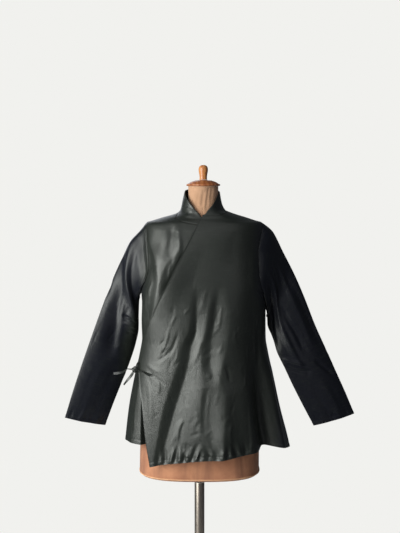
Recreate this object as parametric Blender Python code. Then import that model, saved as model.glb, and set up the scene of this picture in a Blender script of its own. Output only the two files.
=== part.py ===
"""A wrap jacket of dark taffeta, tied at the hip, on a round-shouldered dress form with a pole and base.

Metres, +Z up. The front faces -Y and the wearer's right is towards -X. The origin is the middle of the
base's underside, on the pole's axis. The body of the jacket is a stack of rings, one for each height in
BODY. A place on it is a turn round the ring, in degrees, and a height: turn 0 is the wearer's left side,
-90 the front, 90 the back, and 180 or -180 the wearer's right side. Each panel is a grid of such places
between its four cut edges, and gets its thickness inwards.
"""
import math
from collections import namedtuple

import bmesh
import bpy
import numpy as np
from mathutils import Vector

MM = 0.001
WALL = 2.0 * MM             # one wall of taffeta with its seam turnings
SEAM = 0.3 * MM             # gap between two pieces that are sewn together
OVERLAP_LIFT = 4.0 * MM     # how far the over front stands off the under front
SLEEVE_GAP = 0.45 * MM      # gap between a sleeve's head and the armhole
COLLAR_GAP = 0.5 * MM       # gap between the collar's lower edge and the neck seam
COLLAR_END = 4.0 * MM       # least height of the collar, at its ends
HIDDEN_SINK = 1.3 * MM      # how much further in the under front lies past the over front's edge
FORM_CLEAR = 1.3 * MM       # gap between the jacket's inside and the shoulders that carry it
FORM_TIP = 9.0 * MM         # how much further in the form's shoulder tips are
FORM_CHEST = 4.5 * MM       # how much further in the form is below its shoulder tops
ARMHOLE_ROWS = 10           # rows of a panel from the underarm to the shoulder
NECK_ROWS = 6               # rows of a front, or a quarter of the back's columns, along the neck seam

# The jacket's outer surface, from below the hem to the top of the collar.
Ring = namedtuple("Ring", "z left right front back power")
BODY = (
    Ring(0.600, -0.240, 0.297, 0.142, 0.150, 2.4),
    Ring(0.700, -0.231, 0.276, 0.141, 0.146, 2.4),
    Ring(0.800, -0.219, 0.250, 0.138, 0.138, 2.4),
    Ring(0.900, -0.200, 0.228, 0.135, 0.129, 2.4),
    Ring(0.970, -0.184, 0.212, 0.133, 0.123, 2.4),
    Ring(1.020, -0.176, 0.204, 0.131, 0.119, 2.4),
    Ring(1.090, -0.174, 0.203, 0.131, 0.116, 2.4),
    Ring(1.165, -0.178, 0.203, 0.132, 0.113, 2.4),
    Ring(1.250, -0.173, 0.199, 0.126, 0.109, 2.4),
    Ring(1.320, -0.169, 0.196, 0.109, 0.100, 2.35),
    Ring(1.350, -0.167, 0.195, 0.097, 0.091, 2.3),
    Ring(1.362, -0.1655, 0.1935, 0.090, 0.085, 2.25),
    Ring(1.3706, -0.161, 0.190, 0.084, 0.081, 2.2),
    Ring(1.377, -0.141, 0.169, 0.079, 0.077, 2.15),
    Ring(1.385, -0.115, 0.145, 0.072, 0.073, 2.1),
    Ring(1.400, -0.067, 0.098, 0.064, 0.065, 2.05),
    Ring(1.409, -0.058, 0.078, 0.061, 0.061, 2.0),
    Ring(1.430, -0.053, 0.068, 0.056, 0.057, 2.0),
    Ring(1.475, -0.043, 0.060, 0.050, 0.052, 2.0),
)

# Where the sleeve is set in, seen from the front: the armhole's x at each height.
Place = namedtuple("Place", "z x")
ARMHOLE_RIGHT = (Place(1.155, -0.1785), Place(1.1605, -0.1769), Place(1.176, -0.1732), Place(1.202, -0.161),
                 Place(1.243, -0.1515), Place(1.292, -0.155), Place(1.326, -0.1585), Place(1.350, -0.1603),
                 Place(1.3655, -0.162), Place(1.3706, -0.164))
ARMHOLE_LEFT = (Place(1.105, 0.2035), Place(1.112, 0.2021), Place(1.130, 0.1983), Place(1.161, 0.1905),
                Place(1.212, 0.179), Place(1.289, 0.175), Place(1.318, 0.181), Place(1.345, 0.1868),
                Place(1.3645, 0.1895), Place(1.3706, 0.192))

# The over front's free edge, from its low corner up past the tie's corner to the throat.
WRAP_EDGE = (Place(0.645, -0.146), Place(0.721, -0.157), Place(0.843, -0.1675), Place(0.880, -0.1725),
             Place(0.955, -0.176), Place(0.987, -0.167), Place(1.047, -0.145), Place(1.127, -0.119),
             Place(1.205, -0.084), Place(1.253, -0.063), Place(1.331, -0.025), Place(1.3905, 0.006))
HIDDEN_EDGE = (Place(0.695, 0.030), Place(1.000, 0.035), Place(1.250, 0.035), Place(1.366, 0.002))

# Heights of the hem and the neck seam at turns round the body.
Level = namedtuple("Level", "turn z")
HEM_OVER = (Level(-127.5, 0.645), Level(-90.0, 0.663), Level(-70.0, 0.674), Level(-52.0, 0.688),
            Level(-40.0, 0.690), Level(-20.0, 0.679), Level(0.0, 0.671))
HEM_UNDER = (Level(-180.0, 0.697), Level(-150.0, 0.703), Level(-120.0, 0.701), Level(-83.0, 0.695))
HEM_BACK = (Level(0.0, 0.671), Level(45.0, 0.683), Level(90.0, 0.688), Level(135.0, 0.690),
            Level(180.0, 0.697))
NECK_OVER = (Level(-93.9, 1.3905), Level(-60.0, 1.396), Level(-30.0, 1.402), Level(0.0, 1.4065))
NECK_UNDER = (Level(-180.0, 1.4005), Level(-150.0, 1.394), Level(-120.0, 1.380), Level(-91.0, 1.366))
NECK_BACK = (Level(0.0, 1.4065), Level(45.0, 1.408), Level(90.0, 1.408), Level(135.0, 1.405),
             Level(180.0, 1.4005))
COLLAR_TOP = (Level(-94.0, 1.396), Level(-75.0, 1.407), Level(-55.0, 1.423), Level(-30.0, 1.445),
              Level(0.0, 1.461), Level(45.0, 1.469), Level(90.0, 1.472), Level(135.0, 1.471),
              Level(180.0, 1.466), Level(205.0, 1.452), Level(232.0, 1.432), Level(252.0, 1.411),
              Level(266.0, 1.393))

# The largest folds. Each runs from a high place to a low one, grows downwards, and stands out by `out`.
Fold = namedtuple("Fold", "high_turn high_z low_turn low_z width out")
FOLDS_OVER = (
    Fold(-58.0, 1.010, -52.5, 0.760, 13.0, 0.007),      # sharp ridge where the front turns back
    Fold(-38.0, 1.030, -33.0, 0.740, 17.0, -0.040),     # deep hollow behind that ridge
    Fold(-101.0, 1.090, -116.0, 0.740, 8.0, -0.008),    # long slanting trough towards the low corner
    Fold(-103.0, 0.960, -108.0, 0.740, 7.0, 0.005),
    Fold(-89.0, 0.960, -92.0, 0.760, 7.0, -0.008),
    Fold(-76.0, 1.180, -82.0, 0.860, 9.0, 0.006),       # pleat that opens below the bust
    Fold(-68.0, 0.900, -70.0, 0.760, 7.0, -0.005),
    Fold(-116.0, 1.180, -128.0, 0.860, 9.0, 0.005),
    Fold(-146.0, 1.000, -128.0, 0.760, 14.0, 0.008),    # the free edge hangs clear of the side panel
)
FOLDS_UNDER = (
    Fold(-146.0, 0.860, -145.0, 0.740, 9.0, 0.007),     # ridge of the side panel
    Fold(-126.0, 0.920, -125.0, 0.740, 20.0, -0.016),   # the part that turns in under the over front
    Fold(-163.0, 1.000, -164.0, 0.760, 12.0, -0.009),
    Fold(-84.0, 1.180, -84.0, 0.820, 42.0, -0.014),     # hangs back behind the over front's troughs
)
FOLDS_BACK = (
    Fold(38.0, 1.030, 33.0, 0.740, 15.0, -0.026),
    Fold(58.0, 1.020, 56.0, 0.760, 12.0, 0.008),
    Fold(80.0, 1.000, 78.0, 0.760, 11.0, -0.009),
    Fold(104.0, 1.060, 106.0, 0.760, 12.0, 0.008),
    Fold(128.0, 1.000, 130.0, 0.760, 12.0, -0.012),
    Fold(150.0, 0.960, 151.0, 0.760, 11.0, 0.007),
)

# A sleeve's sections from the armhole to the cuff, by their outer and inner edge seen from the front.
Section = namedtuple("Section", "outer_x outer_z inner_x inner_z middle_y depth")
SLEEVE_RIGHT = (
    Section(-0.1655, 1.3706, -0.1795, 1.155, 0.002, 0.060), Section(-0.188, 1.338, -0.1835, 1.146, 0.002, 0.061),
    Section(-0.228, 1.277, -0.1855, 1.126, 0.001, 0.057), Section(-0.271, 1.185, -0.1870, 1.086, -0.001, 0.050),
    Section(-0.297, 1.116, -0.1885, 1.043, -0.004, 0.044), Section(-0.3197, 1.052, -0.1975, 0.998, -0.007, 0.040),
    Section(-0.3440, 0.984, -0.2170, 0.936, -0.010, 0.036), Section(-0.3690, 0.9126, -0.2440, 0.868, -0.012, 0.033),
    Section(-0.3930, 0.8400, -0.2700, 0.803, -0.014, 0.029), Section(-0.4164, 0.7650, -0.2945, 0.739, -0.016, 0.022),
)
SLEEVE_LEFT = (
    Section(0.1935, 1.3706, 0.2055, 1.105, 0.002, 0.064), Section(0.2225, 1.346, 0.2080, 1.095, 0.002, 0.064),
    Section(0.2576, 1.277, 0.2085, 1.078, 0.001, 0.060), Section(0.2899, 1.214, 0.2095, 1.056, -0.001, 0.054),
    Section(0.3224, 1.1415, 0.2180, 1.030, -0.004, 0.048), Section(0.3597, 1.050, 0.2340, 0.982, -0.007, 0.043),
    Section(0.4019, 0.958, 0.2612, 0.9255, -0.010, 0.038), Section(0.4280, 0.900, 0.2830, 0.879, -0.012, 0.035),
    Section(0.4550, 0.8410, 0.3190, 0.808, -0.014, 0.031), Section(0.4827, 0.7770, 0.3559, 0.740, -0.016, 0.024),
)

# The dress form below the shoulders. Its shoulders are the jacket's own rings, drawn in.
FORM = (
    Ring(0.5945, -0.181, 0.181, 0.110, 0.104, 2.8), Ring(0.602, -0.186, 0.186, 0.115, 0.109, 2.8),
    Ring(0.700, -0.184, 0.186, 0.108, 0.108, 2.6), Ring(0.800, -0.176, 0.180, 0.105, 0.108, 2.5),
    Ring(0.900, -0.160, 0.167, 0.099, 0.102, 2.4), Ring(1.000, -0.142, 0.154, 0.095, 0.090, 2.3),
    Ring(1.090, -0.144, 0.162, 0.104, 0.090, 2.3), Ring(1.180, -0.148, 0.169, 0.118, 0.096, 2.4),
    Ring(1.250, -0.149, 0.172, 0.114, 0.098, 2.4), Ring(1.310, -0.153, 0.178, 0.100, 0.092, 2.4),
)
NECK_X = 0.0115
NECK_RADIUS = 0.0455
NECK_TOP = 1.4805

CAP_RADIUS = 0.0515
CAP_RIM = 0.006
CAP_RISE = 0.013
FINIAL_RADIUS = 0.0143
FINIAL_NECK = 0.0098
FINIAL_TOP = 1.544
POLE_RADIUS = 0.0155
SOCKET_RADIUS = 0.0172
SOCKET_BOTTOM = 0.556
BASE_RADIUS = 0.190
BASE_EDGE = 0.010
HUB_RADIUS = 0.034
HUB_TOP = 0.046

TAFFETA, LINEN, WOOD, STEEL, IRON = "taffeta", "linen", "wood", "steel", "iron"
Finish = namedtuple("Finish", "colour rough metal")
FINISHES = {
    TAFFETA: Finish((0.042, 0.045, 0.043), 0.42, 0.0),
    LINEN: Finish((0.55, 0.31, 0.20), 0.85, 0.0),
    WOOD: Finish((0.40, 0.16, 0.06), 0.35, 0.0),
    STEEL: Finish((0.42, 0.40, 0.38), 0.35, 1.0),
    IRON: Finish((0.05, 0.05, 0.05), 0.55, 0.9),
}


def curve(rows):
    """A smooth function through (place, value) rows that doesn't overshoot them."""
    places, values = (np.array(column, float) for column in zip(*rows))
    steps = np.diff(places)
    grades = np.diff(values) / steps
    slopes = np.concatenate(([grades[0]], np.zeros(len(places) - 2), [grades[-1]]))
    for i in range(1, len(places) - 1):
        before, after = grades[i - 1], grades[i]
        if before * after > 0:
            slopes[i] = 2 * before * after / (before + after)

    def at(place):
        i = min(max(int(np.searchsorted(places, place)) - 1, 0), len(steps) - 1)
        t = min(max((place - places[i]) / steps[i], 0.0), 1.0)
        rise = values[i + 1] - values[i]
        low, high = slopes[i] * steps[i], slopes[i + 1] * steps[i]
        return values[i] + t * (low + t * (3 * rise - 2 * low - high + t * (low + high - 2 * rise)))

    return at


def ring_curves(rings):
    """One smooth function of height for each column of a table of rings."""
    return {name: curve([(ring.z, getattr(ring, name)) for ring in rings]) for name in Ring._fields[1:]}


def ease(t):
    """Rises smoothly from 0 to 1 as t does, and stays there."""
    t = min(max(t, 0.0), 1.0)
    return t * t * (3 - 2 * t)


def mix(a, b, t):
    return a + (b - a) * t


def ring_point(rings, turn, z):
    """The point of a stack of rings at a turn and height, and the way out from it."""
    left, right, power = rings["left"](z), rings["right"](z), rings["power"](z)
    c, s = math.cos(math.radians(turn)), math.sin(math.radians(turn))
    half, depth = (right - left) / 2, rings["back"](z) if s > 0 else rings["front"](z)
    x = half * math.copysign(abs(c) ** (2 / power), c)
    y = depth * math.copysign(abs(s) ** (2 / power), s)
    out = Vector((math.copysign(abs(x / half) ** (power - 1), c) / half,
                  math.copysign(abs(y / depth) ** (power - 1), s) / depth, 0.0))
    return Vector((x + (left + right) / 2, y, z)), out.normalized()


BODY_CURVES = ring_curves(BODY)
FORM_CURVES = ring_curves(FORM)
WRAP_X = curve(WRAP_EDGE)


def turn_at(x, z):
    """Degrees from the nearer end of the x axis's positive side to the place with this x at height z."""
    left, right, power = (BODY_CURVES[name](z) for name in ("left", "right", "power"))
    share = (x - (left + right) / 2) / ((right - left) / 2)
    share = min(max(share, -1.0), 1.0)
    return math.degrees(math.acos(math.copysign(abs(share) ** (power / 2), share)))


def bulge(folds, turn, z):
    """How far the folds push the cloth out at a place."""
    total = 0.0
    for fold in folds:
        along = (fold.high_z - z) / (fold.high_z - fold.low_z)
        if along <= 0:
            continue
        off = (turn - mix(fold.high_turn, fold.low_turn, along)) / fold.width
        if abs(off) < 1:
            total += fold.out * ease(along) * (1 + math.cos(math.pi * off)) / 2
    return total


def over_lift(turn):
    """The over front's distance from the under front, which dies away towards the wearer's left side."""
    return OVERLAP_LIFT * ease((-35.0 - turn) / 30.0)


def over_point(turn, z):
    place, out = ring_point(BODY_CURVES, turn, z)
    return place + out * (over_lift(turn) + bulge(FOLDS_OVER, turn, z))


def under_point(turn, z):
    place, out = ring_point(BODY_CURVES, turn, z)
    hidden = turn + turn_at(WRAP_X(z), z)
    return place + out * (bulge(FOLDS_UNDER, turn, z) - HIDDEN_SINK * ease((hidden - 1.0) / 5.0))


def back_point(turn, z):
    place, out = ring_point(BODY_CURVES, turn, z)
    return place + out * bulge(FOLDS_BACK, turn, z)


def collar_point(turn, z):
    place, out = ring_point(BODY_CURVES, turn, z)
    return place + out * (over_lift(turn) - HIDDEN_SINK * ease((turn - 240.0) / 16.0))


def wall_point(surface, turn, z, depth):
    """The point at this depth below a surface of turns and heights."""
    across = surface(turn + 0.6, z) - surface(turn - 0.6, z)
    up = surface(turn, z + 0.0015) - surface(turn, z - 0.0015)
    return surface(turn, z) - across.cross(up).normalized() * depth


def shifted(surface, turn, z, distance):
    """The turn that lies this distance further round the surface."""
    per_degree = (surface(turn + 0.5, z) - surface(turn - 0.5, z)).length
    return turn + distance / per_degree


def armhole(rows, angle, front):
    """Turn and height on the front or back of an armhole. Angle 0 is its top and 180 its bottom."""
    low, high = rows[0].z, rows[-1].z
    z = (low + high) / 2 + (high - low) / 2 * math.cos(math.radians(angle))
    from_side = turn_at(curve(rows)(z), z)
    if front:
        return -from_side, z
    return from_side, z


def patch(low, high, start, end, across, up):
    """A grid of (turn, z) places between four edges, each a function of a share from 0 to 1.

    Rows run from start to end. The low edge's turns hold until close to the high edge, so that a
    column beside an armhole keeps clear of it.
    """
    rows = []
    for j in range(up + 1):
        v = j / up
        weight = np.array((v ** 6, v))
        row = []
        for i in range(across + 1):
            u = i / across
            from_low = low(u) - mix(low(0), low(1), u)
            from_high = high(u) - mix(high(0), high(1), u)
            row.append(mix(start(v), end(v), u) + mix(from_low, from_high, weight))
        rows.append(row)
    return rows


def joined(share, first, second):
    """An edge made of two edges, the first of which takes this share of it."""
    def at(t):
        return first(t / share) if t < share else second((t - share) / (1 - share))
    return at


def side_edge(turn, hem_z, rows, front, up, gap):
    """A panel's side edge: the side seam up to the armhole, then round it to the shoulder seam."""
    def seam(t):
        z = mix(hem_z, rows[0].z, t)
        return np.array((shifted(back_point, turn, z, gap), z))

    def hole(t):
        place, z = armhole(rows, 180.0 * (1 - t), front)
        at_ends = ease(1 - 5 * t) + ease(5 * t - 4)
        return np.array((shifted(back_point, place, z, gap * at_ends), z))

    return joined(1 - ARMHOLE_ROWS / up, seam, hole)


def level_edge(rows, first, last):
    """An edge that follows a table of levels from one turn to another."""
    height = curve(rows)
    return lambda t: np.array((mix(first, last, t), height(mix(first, last, t))))


def shoulder_edge(turn, z_from, z_to, gap):
    """A shoulder seam, which stays at one turn while its height changes."""
    def at(t):
        z = mix(z_from, z_to, t)
        return np.array((shifted(back_point, turn, z, gap), z))
    return at


def free_edge(rows):
    """A front's free edge, at an x for each height, on the front of the body."""
    x_at = curve(rows)

    def at(t):
        z = mix(rows[0].z, rows[-1].z, t)
        return np.array((-turn_at(x_at(z), z), z))
    return at


def new_object(name, finish, vertices, faces, smooth=True):
    """A closed body from points and faces, turned outwards, with its own material."""
    shape = bmesh.new()
    points = [shape.verts.new(vertex) for vertex in vertices]
    for face in faces:
        shape.faces.new([points[i] for i in face])
    bmesh.ops.recalc_face_normals(shape, faces=shape.faces)
    if shape.calc_volume(signed=True) < 0:
        bmesh.ops.reverse_faces(shape, faces=shape.faces)
    mesh = bpy.data.meshes.new(name)
    shape.to_mesh(mesh)
    shape.free()
    if smooth:
        mesh.shade_smooth()
        mesh.set_sharp_from_angle(angle=math.radians(40))
    material = bpy.data.materials.new(name + "_" + finish)
    material.use_nodes = True
    shader = material.node_tree.nodes["Principled BSDF"]
    look = FINISHES[finish]
    shader.inputs["Base Color"].default_value = (*look.colour, 1.0)
    shader.inputs["Roughness"].default_value = look.rough
    shader.inputs["Metallic"].default_value = look.metal
    mesh.materials.append(material)
    piece = bpy.data.objects.new(name, mesh)
    bpy.context.scene.collection.objects.link(piece)
    return piece


def shell(name, finish, outer, inner, tube):
    """A closed wall between two equal grids of points. A tube's rows close on themselves."""
    rows, columns = len(outer), len(outer[0])
    vertices = [point for grid in (outer, inner) for row in grid for point in row]
    inside = rows * columns

    def at(row, column, layer=0):
        return layer * inside + row * columns + column % columns

    faces = []
    for row in range(rows - 1):
        for column in range(columns if tube else columns - 1):
            square = [(row, column), (row, column + 1), (row + 1, column + 1), (row + 1, column)]
            faces.append([at(r, c) for r, c in square])
            faces.append([at(r, c, 1) for r, c in reversed(square)])
    rim = [[(0, column) for column in range(columns)], [(rows - 1, column) for column in range(columns)]]
    if tube:
        rim = [edge + [edge[0]] for edge in rim]
    else:
        rim += [[(row, 0) for row in range(rows)], [(row, columns - 1) for row in range(rows)]]
    for edge in rim:
        for one, two in zip(edge, edge[1:]):
            faces.append([at(*one), at(*two), at(*two, 1), at(*one, 1)])
    return new_object(name, finish, vertices, faces)


def sheet(name, surface, places):
    """A panel of cloth over a grid of places on a surface."""
    outer = [[surface(turn, z) for turn, z in row] for row in places]
    inner = [[wall_point(surface, turn, z, WALL) for turn, z in row] for row in places]
    return shell(name, TAFFETA, outer, inner, tube=False)


def solid_stack(name, finish, rows):
    """A solid through closed rows of points, with a flat first and last row."""
    columns = len(rows[0])
    vertices = [point for row in rows for point in row]
    faces = [list(range(columns)), list(range(len(vertices) - columns, len(vertices)))]
    for row in range(len(rows) - 1):
        for column in range(columns):
            beside = (column + 1) % columns
            faces.append([row * columns + column, row * columns + beside,
                          (row + 1) * columns + beside, (row + 1) * columns + column])
    return new_object(name, finish, vertices, faces)


def make_fronts():
    half, up = SEAM / 2, 28
    wrap = free_edge(WRAP_EDGE)
    neck_point = shifted(back_point, 0.0, NECK_OVER[-1].z, -half)
    places = patch(
        low=level_edge(HEM_OVER, wrap(0)[0], shifted(back_point, 0.0, HEM_OVER[-1].z, -half)),
        high=shoulder_edge(0.0, NECK_OVER[-1].z, ARMHOLE_LEFT[-1].z, -half),
        start=joined(1 - NECK_ROWS / up, wrap, level_edge(NECK_OVER, wrap(1)[0], neck_point)),
        end=side_edge(0.0, HEM_OVER[-1].z, ARMHOLE_LEFT, True, up, -half),
        across=24, up=up)
    sheet("front_over", over_point, places)

    up = 22
    hidden = free_edge(HIDDEN_EDGE)
    neck_point = shifted(back_point, -180.0, NECK_UNDER[0].z, half)
    places = patch(
        low=level_edge(HEM_UNDER, shifted(back_point, -180.0, HEM_UNDER[0].z, half), hidden(0)[0]),
        high=shoulder_edge(-180.0, ARMHOLE_RIGHT[-1].z, NECK_UNDER[0].z, half),
        start=side_edge(-180.0, HEM_UNDER[0].z, ARMHOLE_RIGHT, True, up, half),
        end=joined(1 - NECK_ROWS / up, hidden, level_edge(NECK_UNDER, hidden(1)[0], neck_point)),
        across=14, up=up)
    sheet("front_under", under_point, places)


def make_back():
    half, across, up = SEAM / 2, 4 * NECK_ROWS, 22
    rise = shoulder_edge(0.0, ARMHOLE_LEFT[-1].z, NECK_BACK[0].z, half)
    fall = shoulder_edge(180.0, NECK_BACK[-1].z, ARMHOLE_RIGHT[-1].z, -half)
    neck = level_edge(NECK_BACK, rise(1)[0], fall(0)[0])
    places = patch(
        low=level_edge(HEM_BACK, shifted(back_point, 0.0, HEM_BACK[0].z, half),
                       shifted(back_point, 180.0, HEM_BACK[-1].z, -half)),
        high=joined(1 / 4, rise, joined(2 / 3, neck, fall)),
        start=side_edge(0.0, HEM_BACK[0].z, ARMHOLE_LEFT, False, up, half),
        end=side_edge(180.0, HEM_BACK[-1].z, ARMHOLE_RIGHT, False, up, -half),
        across=across, up=up)
    sheet("back", back_point, places)


def make_collar():
    """The stand collar, from the throat round the back to its end under the wrap."""
    under = [Level(level.turn + 360.0, level.z) for level in NECK_UNDER]
    top = curve(COLLAR_TOP)
    stretches = ((NECK_OVER, NECK_OVER[0].turn, 0.0, NECK_ROWS), (NECK_BACK, 0.0, 180.0, 2 * NECK_ROWS),
                 (under, 180.0, under[-1].turn, NECK_ROWS))
    columns = []
    for rows, first, last, steps in stretches:
        base = curve(rows)
        for step in range(0 if not columns else 1, steps + 1):
            turn = mix(first, last, step / steps)
            columns.append((turn, base(turn) + COLLAR_GAP))
    up = 4
    places = [[(turn, mix(low, max(top(turn), low + COLLAR_END), row / up)) for turn, low in columns]
              for row in range(up + 1)]
    sheet("collar", collar_point, places)


def sleeve_surface(sections, rows):
    """A function of an angle round a sleeve and a share along it. Angle 0 is its outer edge, 90 its front."""
    side = math.copysign(1.0, rows[0].x)
    tables = {name: curve([(i / (len(sections) - 1), getattr(section, name))
                           for i, section in enumerate(sections)]) for name in Section._fields}
    power = 2.15

    def oval(angle, along):
        outer = Vector((tables["outer_x"](along), 0.0, tables["outer_z"](along)))
        inner = Vector((tables["inner_x"](along), 0.0, tables["inner_z"](along)))
        c, s = math.cos(math.radians(angle)), math.sin(math.radians(angle))
        reach = math.copysign(abs(c) ** (2 / power), c)
        depth = math.copysign(abs(s) ** (2 / power), s) * tables["depth"](along)
        middle = Vector((0.0, tables["middle_y"](along), 0.0))
        return (outer + inner) / 2 + (outer - inner) / 2 * reach + middle - Vector((0.0, depth, 0.0))

    def loop(angle):
        front = angle % 360.0 <= 180.0
        around = angle % 360.0 if front else 360.0 - angle % 360.0
        turn, z = armhole(rows, around, front)
        return ring_point(BODY_CURVES, turn, z)[0] + Vector((side * SLEEVE_GAP, 0.0, 0.0))

    def at(angle, along):
        hold = 1 - ease(along / 0.24)
        place = oval(angle, along)
        if hold > 0:
            place = place + (loop(angle) - oval(angle, 0.0)) * hold
        return place

    return at


def make_sleeve(name, sections, rows):
    surface = sleeve_surface(sections, rows)
    side = math.copysign(1.0, rows[0].x)
    around, along = 2 * ARMHOLE_ROWS, 16
    outer, inner = [], []
    for row in range(along + 1):
        share = (row / along) ** 1.15
        outer_row, inner_row = [], []
        for column in range(around):
            angle = 360.0 * column / around
            before, after = max(share - 0.012, 0.0), min(share + 0.012, 1.0)
            down = surface(angle, after) - surface(angle, before)
            round_it = surface(angle + 4.0, share) - surface(angle - 4.0, share)
            out = round_it.cross(down) * side
            out.x *= ease(share / 0.12)
            place = surface(angle, share)
            outer_row.append(place)
            inner_row.append(place - out.normalized() * WALL)
        outer.append(outer_row)
        inner.append(inner_row)
    shell(name, TAFFETA, outer, inner, tube=True)


def make_torso():
    """The padded form: hips to bust from its own rings, then the jacket's shoulders drawn in, then the neck."""
    columns = 36
    turns = [360.0 * column / columns for column in range(columns)]
    rows = []
    for z in (0.5945, 0.602, 0.640, 0.700, 0.760, 0.830, 0.900, 0.960, 1.020, 1.090, 1.160, 1.225, 1.285, 1.315):
        rows.append([ring_point(FORM_CURVES, turn, z)[0] for turn in turns])
    for z in (1.345, 1.360, 1.370, 1.378, 1.387, 1.395):
        tip, chest = FORM_TIP * (1 - ease((z - 1.366) / 0.018)), FORM_CHEST * (1 - ease((z - 1.372) / 0.014))
        inset = WALL + FORM_CLEAR + chest
        rows.append([wall_point(back_point, turn, z, inset + tip * math.cos(math.radians(turn)) ** 8)
                     for turn in turns])
    for z, radius in ((1.402, 0.054), (1.412, 0.048), (1.430, NECK_RADIUS), (NECK_TOP, NECK_RADIUS)):
        rows.append([Vector((NECK_X + radius * math.cos(math.radians(turn)),
                             radius * math.sin(math.radians(turn)), z)) for turn in turns])
    solid_stack("form_torso", LINEN, rows)


def turned(name, finish, profile, x, sides):
    """A turned solid from (radius, z) pairs, bottom to top, round an upright axis at x."""
    rows = [[Vector((x + radius * math.cos(2 * math.pi * i / sides), radius * math.sin(2 * math.pi * i / sides), z))
             for i in range(sides)] for radius, z in profile]
    return solid_stack(name, finish, rows)


def make_turned_parts():
    rim = NECK_TOP + SEAM
    dome_top = rim + CAP_RIM + CAP_RISE
    dome = [(CAP_RADIUS * math.cos(a), rim + CAP_RIM + CAP_RISE * math.sin(a))
            for a in (math.radians(15.0 * step) for step in range(6))]
    turned("neck_cap", WOOD, [(CAP_RADIUS - 0.002, rim), (CAP_RADIUS, rim + 0.002)] + dome, NECK_X, 36)
    foot = dome_top + SEAM - CAP_RISE * (1 - math.sin(math.radians(75.0)))
    finial = [(FINIAL_NECK, foot), (FINIAL_NECK, foot + 0.012), (FINIAL_RADIUS, foot + 0.022),
              (FINIAL_RADIUS, FINIAL_TOP - 0.012), (FINIAL_RADIUS * 0.8, FINIAL_TOP - 0.005),
              (FINIAL_RADIUS * 0.4, FINIAL_TOP)]
    turned("finial", WOOD, finial, NECK_X, 20)
    top = FORM[0].z - SEAM
    turned("pole_socket", STEEL, [(SOCKET_RADIUS, SOCKET_BOTTOM), (SOCKET_RADIUS, top)], 0.0, 24)
    turned("pole", STEEL, [(POLE_RADIUS, HUB_TOP + SEAM), (POLE_RADIUS, SOCKET_BOTTOM - SEAM)], 0.0, 24)
    turned("base", IRON, [(BASE_RADIUS - 0.003, 0.0), (BASE_RADIUS, 0.003), (BASE_RADIUS, BASE_EDGE),
                          (BASE_RADIUS - 0.008, BASE_EDGE + 0.004), (HUB_RADIUS + 0.03, 0.020),
                          (HUB_RADIUS, 0.028), (HUB_RADIUS - 0.004, HUB_TOP)], 0.0, 48)


KNOT = Vector((-0.1945, -0.0720, 0.930))
KNOT_SIZE = Vector((0.0085, 0.0065, 0.0080))
TIE_WIDTH = 0.010
TIE_CORNER = Place(0.957, -0.1745)  # where the over front's tie is sewn on
TIES = {
    "tie_front_tail": (Vector((-0.1740, -0.0930, 0.9275)), Vector((-0.1580, -0.1065, 0.9190)),
                       Vector((-0.1460, -0.1175, 0.9110))),
    "tie_side_tail": (Vector((-0.2180, -0.0700, 0.9310)), Vector((-0.2350, -0.0675, 0.9200)),
                      Vector((-0.2600, -0.0655, 0.9165))),
    "tie_low_tail": (Vector((-0.2060, -0.0725, 0.9100)), Vector((-0.2190, -0.0720, 0.8940)),
                     Vector((-0.2310, -0.0700, 0.8790))),
}
FRONT = Vector((-0.25, -1.0, 0.0)).normalized()


def make_tie(name, route, flat):
    """A narrow strip of cloth along a smooth route, its flat side turned this way."""
    stations = [curve([(i, point[axis]) for i, point in enumerate(route)]) for axis in range(3)]
    steps = 4 * (len(route) - 1)
    rows = []
    for step in range(steps + 1):
        t = (len(route) - 1) * step / steps
        here = Vector([axis(t) for axis in stations])
        ahead = Vector([axis(t + 0.02) for axis in stations]) - Vector([axis(t - 0.02) for axis in stations])
        wide = ahead.cross(flat).normalized() * TIE_WIDTH / 2
        thick = wide.cross(ahead).normalized() * WALL / 2
        rows.append([here + wide + thick, here - wide + thick, here - wide - thick, here + wide - thick])
    solid_stack(name, TAFFETA, rows)


def make_bow():
    rows = []
    for latitude in (-75.0, -50.0, -25.0, 0.0, 25.0, 50.0, 75.0):
        ring, z = math.cos(math.radians(latitude)), math.sin(math.radians(latitude))
        rows.append([KNOT + Vector((KNOT_SIZE.x * ring * math.cos(2 * math.pi * i / 12),
                                    KNOT_SIZE.y * ring * math.sin(2 * math.pi * i / 12), KNOT_SIZE.z * z))
                     for i in range(12)])
    solid_stack("tie_knot", TAFFETA, rows)
    turn = -turn_at(TIE_CORNER.x, TIE_CORNER.z)
    out = (wall_point(over_point, turn, TIE_CORNER.z, -1.0) - over_point(turn, TIE_CORNER.z))
    sewn = wall_point(over_point, turn, TIE_CORNER.z, -WALL / 2 - SEAM)
    near_knot = KNOT + Vector((0.0015, -0.0005, KNOT_SIZE.z + 3 * SEAM))
    make_tie("tie_over", (sewn, (sewn + near_knot) / 2 + out * 0.002, near_knot), out)
    for name, route in TIES.items():
        away = route[0] - KNOT
        to_skin = 1 / Vector([away[i] / KNOT_SIZE[i] for i in range(3)]).length
        make_tie(name, (KNOT + away * to_skin + away.normalized() * SEAM, *route), FRONT)


for old in list(bpy.data.objects):
    bpy.data.objects.remove(old)
make_fronts()
make_back()
make_collar()
make_sleeve("sleeve_right", SLEEVE_RIGHT, ARMHOLE_RIGHT)
make_sleeve("sleeve_left", SLEEVE_LEFT, ARMHOLE_LEFT)
make_torso()
make_turned_parts()
make_bow()
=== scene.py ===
"""A wrap jacket of dark taffeta, tied at the hip, on a padded dress form: finishes, fine cloth and light.

Metres, +Z up. The front faces -Y and the wearer's right is towards -X. The sections follow the thing as it is
put together: the stand, the form on it, then the jacket's panels, its collar, sleeves, ties and sewing.
"""
import math
import random
from collections import namedtuple

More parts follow.
